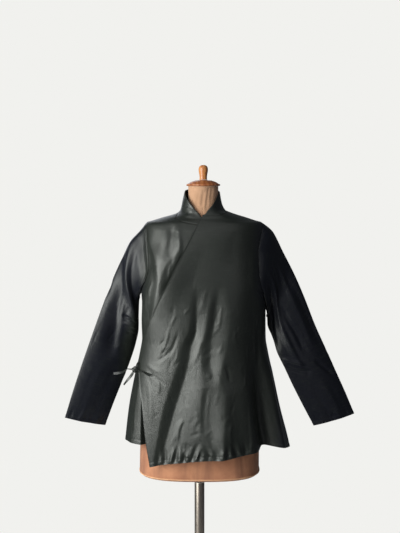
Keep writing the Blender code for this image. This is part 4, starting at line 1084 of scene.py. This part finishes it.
# ---- The back ----------------------------------------------------------------------------------------------
# One panel from side to side. It falls straight from the shoulder blades, and opens into soft flutes at the
# hem.
CREASES_BACK = (
    Crease(((-0.120, 1.330), (-0.090, 1.250), (-0.050, 1.180)), 0.050, 0.0024, end=0.060),
    Crease(((0.110, 1.335), (0.084, 1.260), (0.046, 1.170)), 0.046, 0.0026, end=0.064),
    Crease(((-0.060, 1.372), (-0.020, 1.362), (0.030, 1.364), (0.066, 1.374)), 0.020, -0.0014),
    Crease(((-0.150, 1.120), (-0.132, 1.000), (-0.140, 0.880), (-0.152, 0.700)), 0.036, 0.0044, end=0.052,
           run_out=True),
    Crease(((-0.092, 1.090), (-0.086, 0.980), (-0.096, 0.840), (-0.104, 0.700)), 0.034, -0.0040, end=0.046,
           run_out=True),
    Crease(((-0.040, 1.150), (-0.034, 1.020), (-0.038, 0.860), (-0.046, 0.700)), 0.040, 0.0040, end=0.054,
           run_out=True),
    Crease(((0.010, 1.100), (0.018, 0.960), (0.016, 0.820), (0.012, 0.700)), 0.030, -0.0034, end=0.042,
           run_out=True),
    Crease(((0.062, 1.140), (0.060, 1.020), (0.070, 0.860), (0.078, 0.700)), 0.038, 0.0044, end=0.052,
           run_out=True),
    Crease(((0.116, 1.070), (0.112, 0.960), (0.126, 0.820), (0.134, 0.700)), 0.032, -0.0040, end=0.048,
           run_out=True),
    Crease(((0.166, 1.060), (0.160, 0.960), (0.176, 0.820), (0.190, 0.700)), 0.030, 0.0036, end=0.044,
           run_out=True),
    Crease(((-0.204, 1.040), (-0.196, 0.940), (-0.212, 0.800), (-0.222, 0.690)), 0.030, -0.0034, end=0.044,
           run_out=True),
    Crease(((-0.250, 0.960), (-0.262, 0.860), (-0.280, 0.740)), 0.030, 0.0032, end=0.040, run_out=True),
    Crease(((-0.176, 1.170), (-0.140, 1.120), (-0.110, 1.108)), 0.020, -0.0018),
    Crease(((0.160, 1.160), (0.132, 1.118), (0.100, 1.100)), 0.022, -0.0018),
    Crease(((-0.060, 1.052), (-0.010, 1.030), (0.036, 1.026)), 0.030, -0.0008),
    Crease(((-0.084, 0.990), (-0.040, 1.000), (0.010, 0.984)), 0.024, 0.0006),
) + crumples(5, 60, (-0.26, 0.26), (0.70, 1.30), 0.0)
PUCKERS_BACK = tuple(
    Pucker(-0.270 + 0.0225 * i + 0.006 * math.sin(2.3 * i), 0.038 + 0.014 * math.sin(1.7 * i + 1),
           0.0015 * (1 if i % 2 else -1), 0.15 * math.sin(3.1 * i)) for i in range(25))

across_corners = (0.25, 0.75)
rise = shoulder_edge(0.0, ARMHOLE_LEFT[-1].z, NECK_BACK[0].z, SEAM / 2)
fall = shoulder_edge(180.0, NECK_BACK[-1].z, ARMHOLE_RIGHT[-1].z, -SEAM / 2)
arm_corner = 1 - 10 / 22
turn, z = patch(
    low=level_edge(HEM_BACK, shifted(np.array(0.0), np.array(HEM_BACK[0].z), SEAM / 2),
                   shifted(np.array(180.0), np.array(HEM_BACK[-1].z), -SEAM / 2)),
    high=joined(1 / 4, rise, joined(2 / 3, level_edge(NECK_BACK, rise(one)[0][0], fall(zero)[0][0]), fall)),
    start=side_edge(0.0, HEM_BACK[0].z, ARMHOLE_LEFT, False, arm_corner, SEAM / 2),
    end=side_edge(180.0, HEM_BACK[-1].z, ARMHOLE_RIGHT, False, arm_corner, -SEAM / 2),
    across=spaced(across_corners, (44, 96, 44)), up=spaced((arm_corner,), (92, 66), 1.35))
base, out = body_surface(turn, z)
across, up = run_at(turn, z) - run_at(90.0 + 0 * turn, z), z
u_length, v_length = lengths_along(base, 1), lengths_along(base, 0)
near_seam = np.minimum(np.minimum(u_length, u_length[:, -1:] - u_length), v_length[-1:] - v_length)
push = bulge(FOLDS_BACK, turn, z)
push += creased(CREASES_BACK, across, up) * ease(near_seam / CREASES_CLEAR)
push += puckered(PUCKERS_BACK, across, v_length) * ease(near_seam / PUCKERS_CLEAR)
push += hem_relief(v_length) + seam_relief(near_seam)
back = panel("back", base, out, push, across, up)

# ---- The collar --------------------------------------------------------------------------------------------
# A soft stand collar, cut double and folded along its top. It stands high round the back of the neck and runs
# out to a point at each end, one under the wrap and one at its upper corner.
COLLAR_GAP, COLLAR_END, SINK = 0.0002, 0.004, 0.0013
COLLAR_SEAM = 0.7           # how much its seam rolls in, beside the body's seams
FOLDED_TOP = 0.0010         # how far its fold rounds its top edge
FRONT_COLUMNS, BACK_COLUMNS, COLLAR_ROWS = 60, 110, 29
COLLAR_TOP = (Level(-94.0, 1.395), Level(-75.0, 1.412), Level(-55.0, 1.431), Level(-30.0, 1.452),
              Level(0.0, 1.464), Level(45.0, 1.469), Level(90.0, 1.472), Level(135.0, 1.471),
              Level(180.0, 1.466), Level(205.0, 1.452), Level(232.0, 1.431), Level(252.0, 1.408),
              Level(266.0, 1.389))
CREASES_COLLAR = (
    Crease(((0.212, 1.413), (0.230, 1.405), (0.254, 1.396)), 0.009, -0.0020, crisp=0.6),
    Crease(((0.208, 1.404), (0.236, 1.396), (0.262, 1.388), (0.286, 1.379)), 0.010, -0.0024, crisp=0.6),
    Crease(((0.222, 1.419), (0.240, 1.410), (0.260, 1.401)), 0.013, 0.0014),
    Crease(((0.204, 1.442), (0.222, 1.430), (0.240, 1.421)), 0.012, 0.0012),
    Crease(((0.258, 1.408), (0.272, 1.397), (0.288, 1.388)), 0.012, 0.0012),
    Crease(((0.250, 1.450), (0.262, 1.430), (0.268, 1.412)), 0.014, -0.0012),
    Crease(((-0.060, 1.425), (-0.046, 1.412), (-0.036, 1.404)), 0.012, -0.0010),
    Crease(((0.020, 1.450), (0.030, 1.432), (0.034, 1.414)), 0.014, -0.0012),
    Crease(((0.130, 1.462), (0.126, 1.440), (0.134, 1.418)), 0.016, 0.0010),
    Crease(((0.180, 1.460), (0.188, 1.436), (0.182, 1.416)), 0.013, -0.0011),
)
columns_turn, columns_low = [], []
under_rows = [Level(level.turn + 360.0, level.z) for level in NECK_UNDER]
for rows, first, last, count in ((NECK_OVER, NECK_OVER[0].turn, 0.0, FRONT_COLUMNS),
                                 (NECK_BACK, 0.0, 180.0, BACK_COLUMNS),
                                 (under_rows, 180.0, under_rows[-1].turn, FRONT_COLUMNS)):
    stretch = np.linspace(first, last, count + 1)[1 if columns_turn else 0:]
    columns_turn.extend(stretch)
    columns_low.extend(smooth(rows)(stretch) + COLLAR_GAP)
columns_turn, columns_low = np.array(columns_turn), np.array(columns_low)
columns_high = np.maximum(smooth(COLLAR_TOP)(columns_turn), columns_low + COLLAR_END)
share = np.linspace(0, 1, COLLAR_ROWS)[:, None]
turn = columns_turn[None] + 0 * share
z = mix(columns_low[None], columns_high[None], share)
base, out = body_surface(turn, z)
u_length, v_length = lengths_along(base, 1), lengths_along(base, 0)
across = u_length - u_length[:, [FRONT_COLUMNS]]
push = overlap_lift(turn) - SINK * ease((turn - 240.0) / 16.0)
push += creased(CREASES_COLLAR, across, z) + COLLAR_SEAM * seam_relief(v_length)
push -= FOLDED_TOP * dent(v_length[-1:] - v_length, 0.0025)
collar = panel("collar", base, out, push, across, z)

# ---- The sleeves -------------------------------------------------------------------------------------------
# Sleeves set in at the armholes, which hang away from the body to hand-wide open cuffs. The cloth breaks
# over the armhole, drags in slanting folds round the elbow, and hangs flat from there to a sewn cuff.
Section = namedtuple("Section", "outer_x outer_z inner_x inner_z middle_y depth")
SLEEVE_RIGHT = (
    Section(-0.1655, 1.3706, -0.1795, 1.155, 0.002, 0.060),
    Section(-0.188, 1.338, -0.1835, 1.146, 0.002, 0.061),
    Section(-0.228, 1.277, -0.1855, 1.126, 0.001, 0.057),
    Section(-0.271, 1.185, -0.1870, 1.086, -0.001, 0.050),
    Section(-0.297, 1.116, -0.1885, 1.043, -0.004, 0.044),
    Section(-0.3197, 1.052, -0.1975, 0.998, -0.007, 0.040),
    Section(-0.3440, 0.984, -0.2170, 0.936, -0.010, 0.036),
    Section(-0.3690, 0.9126, -0.2440, 0.868, -0.012, 0.033),
    Section(-0.3930, 0.8400, -0.2700, 0.803, -0.014, 0.029),
    Section(-0.4138, 0.7720, -0.2950, 0.736, -0.016, 0.022),
)
SLEEVE_LEFT = (
    Section(0.1935, 1.3706, 0.2055, 1.105, 0.002, 0.064), Section(0.2225, 1.346, 0.2080, 1.095, 0.002, 0.064),
    Section(0.2576, 1.277, 0.2085, 1.078, 0.001, 0.060), Section(0.2899, 1.214, 0.2095, 1.056, -0.001, 0.054),
    Section(0.3224, 1.1415, 0.2180, 1.030, -0.004, 0.048),
    Section(0.3597, 1.050, 0.2340, 0.982, -0.007, 0.043),
    Section(0.4019, 0.958, 0.2612, 0.9255, -0.010, 0.038),
    Section(0.4280, 0.900, 0.2830, 0.879, -0.012, 0.035),
    Section(0.4550, 0.8410, 0.3190, 0.808, -0.014, 0.031),
    Section(0.4838, 0.7730, 0.3515, 0.747, -0.016, 0.024),
)
SLEEVE_AROUND, SLEEVE_ALONG, SLEEVE_GAP, OVAL_POWER = 160, 190, 0.0003, 2.15
PRESSED = 0.8               # how far a sleeve is from an oval towards two flat faces that meet at sharp edges
FLATTER = 0.72              # how much of its depth that takes away
SWING = 0.021               # both sleeves hang turned a little to the wearer's left: their edges, by this much
# Shares of a sleeve's length: what leads from the armhole's shape to its own, and where and how soon it is
# pressed flat and begins to turn.
SET_IN, PRESSED_AT, PRESSED_BY, SWING_AT, SWING_BY = 0.24, 0.04, 0.30, 0.36, 0.22
ROOT = 0.014                # by the armhole, over this length, a sleeve goes out the body's own way

# They are of the same cloth with less of a shine. Their blue-black is the painted navy shade that the cloth's
# material mixes in far out to the sides.
sleeve_taffeta = taffeta.copy()
sleeve_taffeta.name = "sleeve_taffeta_low_shine"
sleeve_taffeta.node_tree.nodes["Principled BSDF"].inputs["Specular IOR Level"].default_value = 0.30


def armhole_loop(rows, angle):
    """Places round an armhole for a sleeve's angles, and the body's own ways out there."""
    front = angle % 360.0 <= 180.0
    turn, z = armhole(rows, np.where(front, angle % 360.0, 360.0 - angle % 360.0), front)
    return body_surface(turn, z)


def sleeve_grid(sections, rows, angle, along):
    """Places on a smooth sleeve: angle 0 is its outer edge, 90 its front; along 0 its armhole, 1 its cuff."""
    stations = [i / (len(sections) - 1) for i in range(len(sections))]
    at = {name: smooth(list(zip(stations, (getattr(section, name) for section in sections))))
          for name in Section._fields}
    c, s = np.cos(np.radians(angle)), np.sin(np.radians(angle))

    def oval(along):
        outer = np.stack([at["outer_x"](along), 0 * along, at["outer_z"](along)], -1)
        inner = np.stack([at["inner_x"](along), 0 * along, at["inner_z"](along)], -1)
        round_reach, flat_reach = np.copysign(np.abs(c) ** (2 / OVAL_POWER), c), c
        round_deep = np.copysign(np.abs(s) ** (2 / OVAL_POWER), s)
        pressed = PRESSED * ease((along - PRESSED_AT) / PRESSED_BY)
        reach = mix(round_reach, flat_reach, pressed)
        depth = at["depth"](along) * (1 - FLATTER * pressed)
        deep = mix(round_deep, np.copysign(1 - c * c, s), pressed) * depth
        place = (outer + inner) / 2 + (outer - inner) / 2 * reach[..., None]
        swing = math.copysign(SWING, rows[0].x) * reach * ease((along - SWING_AT) / SWING_BY)
        place[..., 1] += at["middle_y"](along) - deep + swing
        return place

    loop = armhole_loop(rows, angle)[0] + np.array((math.copysign(SLEEVE_GAP, rows[0].x), 0.0, 0.0))
    hold = (1 - ease(along / SET_IN))[..., None]
    return oval(along) + (loop - oval(0 * along)) * hold


def sleeve(name, node, sections, rows, creases, puckers):
    """One sleeve with its creases. They are placed in metres round it from its outer edge, and down it."""
    side = math.copysign(1.0, rows[0].x)
    angle, share = np.meshgrid(np.arange(SLEEVE_AROUND) * 360.0 / SLEEVE_AROUND,
                               np.linspace(0, 1, SLEEVE_ALONG + 1) ** 1.08)
    base = sleeve_grid(sections, rows, angle, share)
    round_it = np.roll(base, -1, axis=1) - np.roll(base, 1, axis=1)
    out = np.cross(round_it, np.gradient(base, axis=0)) * side
    out[..., 0] *= ease(share / 0.12)
    out /= np.maximum(np.linalg.norm(out, axis=-1, keepdims=True), 1e-12)
    spine = base.mean(axis=1)
    down = lengths_along(spine[:, None], 0) + 0 * angle
    # Both sides of the armhole's seam then sink together.
    out = mix(armhole_loop(rows, angle)[1], out, ease(down / ROOT)[..., None])
    out /= np.linalg.norm(out, axis=-1, keepdims=True)
    ring = lengths_along(np.concatenate((base, base[:, :1]), axis=1), 1)
    girth = ring[:, -1:]
    around = ring[:, :-1]
    from_cuff = down[-1:] - down
    push = creased(creases, around, down, girth) * ease(down / CREASES_CLEAR)
    push += puckered(puckers, around - girth / 2, from_cuff) * ease(from_cuff / 0.003 + 0.3)
    push += hem_relief(from_cuff) + seam_relief(down)
    outer = base + out * push[..., None]
    outer = outer[::-1]
    inward = -out[::-1]
    if side > 0:
        outer, inward = np.flip(outer, axis=1), np.flip(inward, axis=1)
        ring = np.flip(ring, axis=1)
    length = np.concatenate((down, down[:, :1]), axis=1)
    piece = cloth_piece(name, outer, inward, ring[::-1], length[::-1], closed=True)
    settle(piece, node, "taffeta", sleeve_taffeta)


CUFF_PUCKERS = tuple(
    Pucker(-0.118 + 0.0265 * i + 0.006 * math.sin(2.9 * i), 0.030 + 0.012 * math.sin(1.9 * i),
           0.0011 * (1 if i % 2 else -1), 0.2 * math.sin(2.2 * i)) for i in range(10))
CREASES_RIGHT_SLEEVE = (
    # down the front, from the armhole to the elbow
    Crease(((-0.014, 0.036), (0.002, 0.041), (0.020, 0.048), (0.042, 0.060), (0.066, 0.088), (0.094, 0.120),
            (0.110, 0.160), (0.114, 0.200), (0.124, 0.274), (0.132, 0.345)), 0.086, 0.0120, end=0.060,
           lean=0.1, crisp=0.3),
    Crease(((0.036, 0.090), (0.048, 0.135), (0.052, 0.189), (0.062, 0.239), (0.072, 0.300), (0.080, 0.345)),
           0.062, -0.0085, end=0.070, lean=0.3, crisp=0.2),
    Crease(((0.016, 0.016), (0.060, 0.018), (0.100, 0.018), (0.140, 0.017), (0.170, 0.015), (0.210, 0.012)),
           0.042, -0.0070, crisp=0.2),
    # the elbow
    Crease(((0.068, 0.196), (0.096, 0.186), (0.128, 0.190)), 0.016, -0.0042, crisp=0.7),
    Crease(((0.076, 0.214), (0.104, 0.206), (0.136, 0.204)), 0.018, 0.0034),
    Crease(((0.096, 0.238), (0.120, 0.232), (0.142, 0.238)), 0.016, -0.0028),
    # the forearm
    Crease(((0.104, 0.330), (0.098, 0.400), (0.086, 0.480), (0.080, 0.560)), 0.040, -0.0012, end=0.036,
           run_out=True),
    Crease(((0.070, 0.330), (0.058, 0.410), (0.052, 0.490), (0.050, 0.560)), 0.040, 0.0012, end=0.036,
           run_out=True),
    # the back
    Crease(((0.210, 0.030), (0.232, 0.100), (0.240, 0.180), (0.232, 0.240)), 0.036, 0.0050, end=0.034),
    Crease(((0.250, 0.030), (0.268, 0.110), (0.276, 0.190)), 0.032, -0.0042, end=0.034),
    Crease(((0.190, 0.262), (0.226, 0.280), (0.262, 0.268)), 0.020, 0.0036),
    Crease(((0.184, 0.292), (0.222, 0.312), (0.260, 0.304)), 0.022, -0.0034),
    Crease(((0.210, 0.340), (0.224, 0.440), (0.222, 0.560)), 0.028, 0.0036, run_out=True),
    Crease(((0.176, 0.360), (0.184, 0.460), (0.180, 0.560)), 0.026, -0.0030, run_out=True),
)
CREASES_LEFT_SLEEVE = (
    Crease(((0.186, 0.020), (0.164, 0.080), (0.152, 0.150), (0.150, 0.220), (0.144, 0.275)), 0.036, -0.0058,
           end=0.032, crisp=0.8),
    Crease(((0.150, 0.016), (0.128, 0.070), (0.116, 0.140), (0.112, 0.220), (0.108, 0.300), (0.104, 0.360)),
           0.036, 0.0060, end=0.032, lean=-0.2, crisp=0.8),
    Crease(((0.104, 0.120), (0.086, 0.180), (0.074, 0.250), (0.072, 0.320)), 0.030, -0.0050, end=0.034),
    Crease(((0.070, 0.040), (0.054, 0.120), (0.042, 0.220), (0.040, 0.310)), 0.036, 0.0036),
    Crease(((0.028, 0.120), (0.018, 0.220), (0.014, 0.330)), 0.030, -0.0028),
    # the elbow
    Crease(((0.150, 0.292), (0.120, 0.322), (0.086, 0.340)), 0.020, 0.0036, lean=0.3),
    Crease(((0.156, 0.322), (0.122, 0.350), (0.076, 0.366)), 0.022, -0.0038),
    Crease(((0.060, 0.330), (0.036, 0.362), (0.012, 0.400)), 0.024, -0.0030),
    # the forearm
    Crease(((0.110, 0.372), (0.094, 0.440), (0.086, 0.520), (0.084, 0.640)), 0.040, -0.0014, end=0.036,
           run_out=True),
    Crease(((0.074, 0.372), (0.056, 0.450), (0.050, 0.530), (0.050, 0.640)), 0.040, 0.0014, end=0.036,
           run_out=True),
    # the back
    Crease(((0.226, 0.030), (0.250, 0.110), (0.258, 0.200), (0.250, 0.280)), 0.038, 0.0052, end=0.036),
    Crease(((0.268, 0.040), (0.286, 0.130), (0.292, 0.220)), 0.034, -0.0044, end=0.036),
    Crease(((0.200, 0.300), (0.238, 0.322), (0.276, 0.312)), 0.022, 0.0036),
    Crease(((0.190, 0.336), (0.230, 0.356), (0.270, 0.350)), 0.024, -0.0036),
    Crease(((0.220, 0.400), (0.234, 0.500), (0.230, 0.640)), 0.030, 0.0038, run_out=True),
    Crease(((0.184, 0.420), (0.190, 0.520), (0.186, 0.640)), 0.026, -0.0030, run_out=True),
)
CREASES_RIGHT_SLEEVE += crumples(21, 22, (0.0, 0.34), (0.05, 0.36), -10.0)
CREASES_LEFT_SLEEVE += crumples(22, 22, (0.0, 0.36), (0.05, 0.38), -10.0)
sleeve("jacket_sleeve_right", "sleeve_right", SLEEVE_RIGHT, ARMHOLE_RIGHT, CREASES_RIGHT_SLEEVE, CUFF_PUCKERS)
sleeve("jacket_sleeve_left", "sleeve_left", SLEEVE_LEFT, ARMHOLE_LEFT, CREASES_LEFT_SLEEVE, CUFF_PUCKERS)

# ---- The ties ----------------------------------------------------------------------------------------------
# Narrow folded strips of the same cloth. One is sewn to the corner of the wrap, and its knot at the right hip
# leaves three short tails.
TIE_WIDTH, TIE_THICK = 0.0085, 0.0014
KNOT, KNOT_SIZE = np.array((-0.1940, -0.0740, 0.931)), np.array((0.0100, 0.0075, 0.0090))
TAILS_FACE = np.array((0.25, -0.50, 0.83))      # the tails' broad sides are turned up and forward
# The strip's section, in halves of its width and thickness: two rounded folds with a dip between them.
STRIP_OUTLINE = ((-1.0, 0.0), (-0.92, 0.8), (-0.5, 1.0), (0.0, 0.78), (0.5, 1.0), (0.92, 0.8), (1.0, 0.0),
                 (0.92, -0.8), (0.5, -1.0), (0.0, -0.86), (-0.5, -1.0), (-0.92, -0.8))


def mesh_faces_out(piece):
    """Turns the faces of a closed piece to point outwards."""
    bpy.ops.object.select_all(action="DESELECT")
    bpy.context.view_layer.objects.active = piece
    piece.select_set(True)
    bpy.ops.object.mode_set(mode="EDIT")
    bpy.ops.mesh.select_all(action="SELECT")
    bpy.ops.mesh.normals_make_consistent(inside=False)
    bpy.ops.object.mode_set(mode="OBJECT")


def tie_strip(name, route, facing, twist):
    """A folded strip along a smooth route, its broad side turned to `facing` and twisted a little."""
    knots = np.array(route, float)
    steps = np.linspace(0, len(knots) - 1, 41)
    line = np.stack([smooth(list(enumerate(knots[:, axis])))(steps) for axis in range(3)], -1)
    along = np.gradient(line, axis=0)
    along /= np.linalg.norm(along, axis=1, keepdims=True)
    across = np.cross(along, facing)
    across /= np.linalg.norm(across, axis=1, keepdims=True)
    normal = np.cross(across, along)
    share = np.linspace(0, 1, len(line))[:, None]
    lean = np.radians(twist) * np.sin(share * 5.0)
    across, normal = (across * np.cos(lean) + normal * np.sin(lean),
                      normal * np.cos(lean) - across * np.sin(lean))
    # It is drawn narrow where it leaves the knot, and narrows a little again at its end.
    width = TIE_WIDTH * (0.72 + 0.28 * ease(share / 0.25)) * (1 - 0.10 * ease((share - 0.86) / 0.14))
    ring = np.stack([line + across * s * width / 2 + normal * t * TIE_THICK / 2 for s, t in STRIP_OUTLINE], 1)
    points, faces = capped(ring, line[[0, -1]])
    sides = len(STRIP_OUTLINE)
    flat = [(TIE_WIDTH * (k % sides) / sides, 0.002 * (k // sides)) for face in faces for k in face]
    piece = new_piece(name, points, faces, flat)
    mesh_faces_out(piece)
    return piece


Tail = namedtuple("Tail", "node twist length route")
TAILS = (
    Tail("tie_front_tail", 24.0, 0.062,
         ((-0.1740, -0.0945, 0.9305), (-0.1600, -0.1065, 0.9265), (-0.1450, -0.1180, 0.9225))),
    Tail("tie_side_tail", -30.0, 0.062,
         ((-0.2160, -0.0710, 0.9320), (-0.2340, -0.0680, 0.9210), (-0.2600, -0.0655, 0.9165))),
    Tail("tie_low_tail", 20.0, 0.056,
         ((-0.2060, -0.0725, 0.9120), (-0.2180, -0.0720, 0.8970), (-0.2290, -0.0700, 0.8830))),
)
DRAWN_IN = 0.75             # a tail begins this share of the way out from the knot's middle
for row in TAILS:
    away = np.array(row.route[0]) - KNOT
    inside_knot = KNOT + away * DRAWN_IN / np.linalg.norm(away / KNOT_SIZE)
    tail = tie_strip("jacket_" + row.node, (inside_knot, *row.route), TAILS_FACE, row.twist)
    settle(tail, row.node, "taffeta", taffeta)

# The knot: two turns of the strip drawn tight over a small core, so it is lumpy and creased.
KNOT_SIDES, KNOT_ROWS = 48, 29
angle, rise = np.meshgrid(np.radians(np.arange(KNOT_SIDES) * 360.0 / KNOT_SIDES),
                          np.radians(np.linspace(-84, 84, KNOT_ROWS)))
ball = np.stack([np.cos(rise) * np.cos(angle), np.cos(rise) * np.sin(angle), np.sin(rise)], -1)
wraps = 0.10 * np.cos(5.0 * rise + 2.0 * np.cos(angle + 0.6)) + 0.05 * np.cos(3.0 * angle + 2.0 * rise)
skin = KNOT + ball * KNOT_SIZE * (1.02 + wraps)[..., None]
points, faces = capped(skin, KNOT + KNOT_SIZE * ((0, 0, -1.0), (0, 0, 1.0)))
flat = [(0.001 * (k % KNOT_SIDES), 0.001 * (k // KNOT_SIDES)) for face in faces for k in face]
knot = new_piece("jacket_tie_knot", points, faces, flat)
mesh_faces_out(knot)
settle(knot, "tie_knot", "taffeta", taffeta)

TIE_CORNER = Place(0.957, -0.1745)
corner_turn = -turn_at(TIE_CORNER.x, TIE_CORNER.z)
corner, corner_out = body_surface(np.array(corner_turn), np.array(TIE_CORNER.z))
corner_skin = corner + corner_out * OVERLAP_LIFT
top_of_knot = KNOT + np.array((0.0015, -0.0005, 0.6 * KNOT_SIZE[2]))
strand = tie_strip("jacket_tie_over", (
    corner_skin + corner_out * 0.0008, (corner_skin + top_of_knot) / 2 + corner_out * 0.003, top_of_knot),
    corner_out, 12.0)
settle(strand, "tie_over", "taffeta", taffeta)
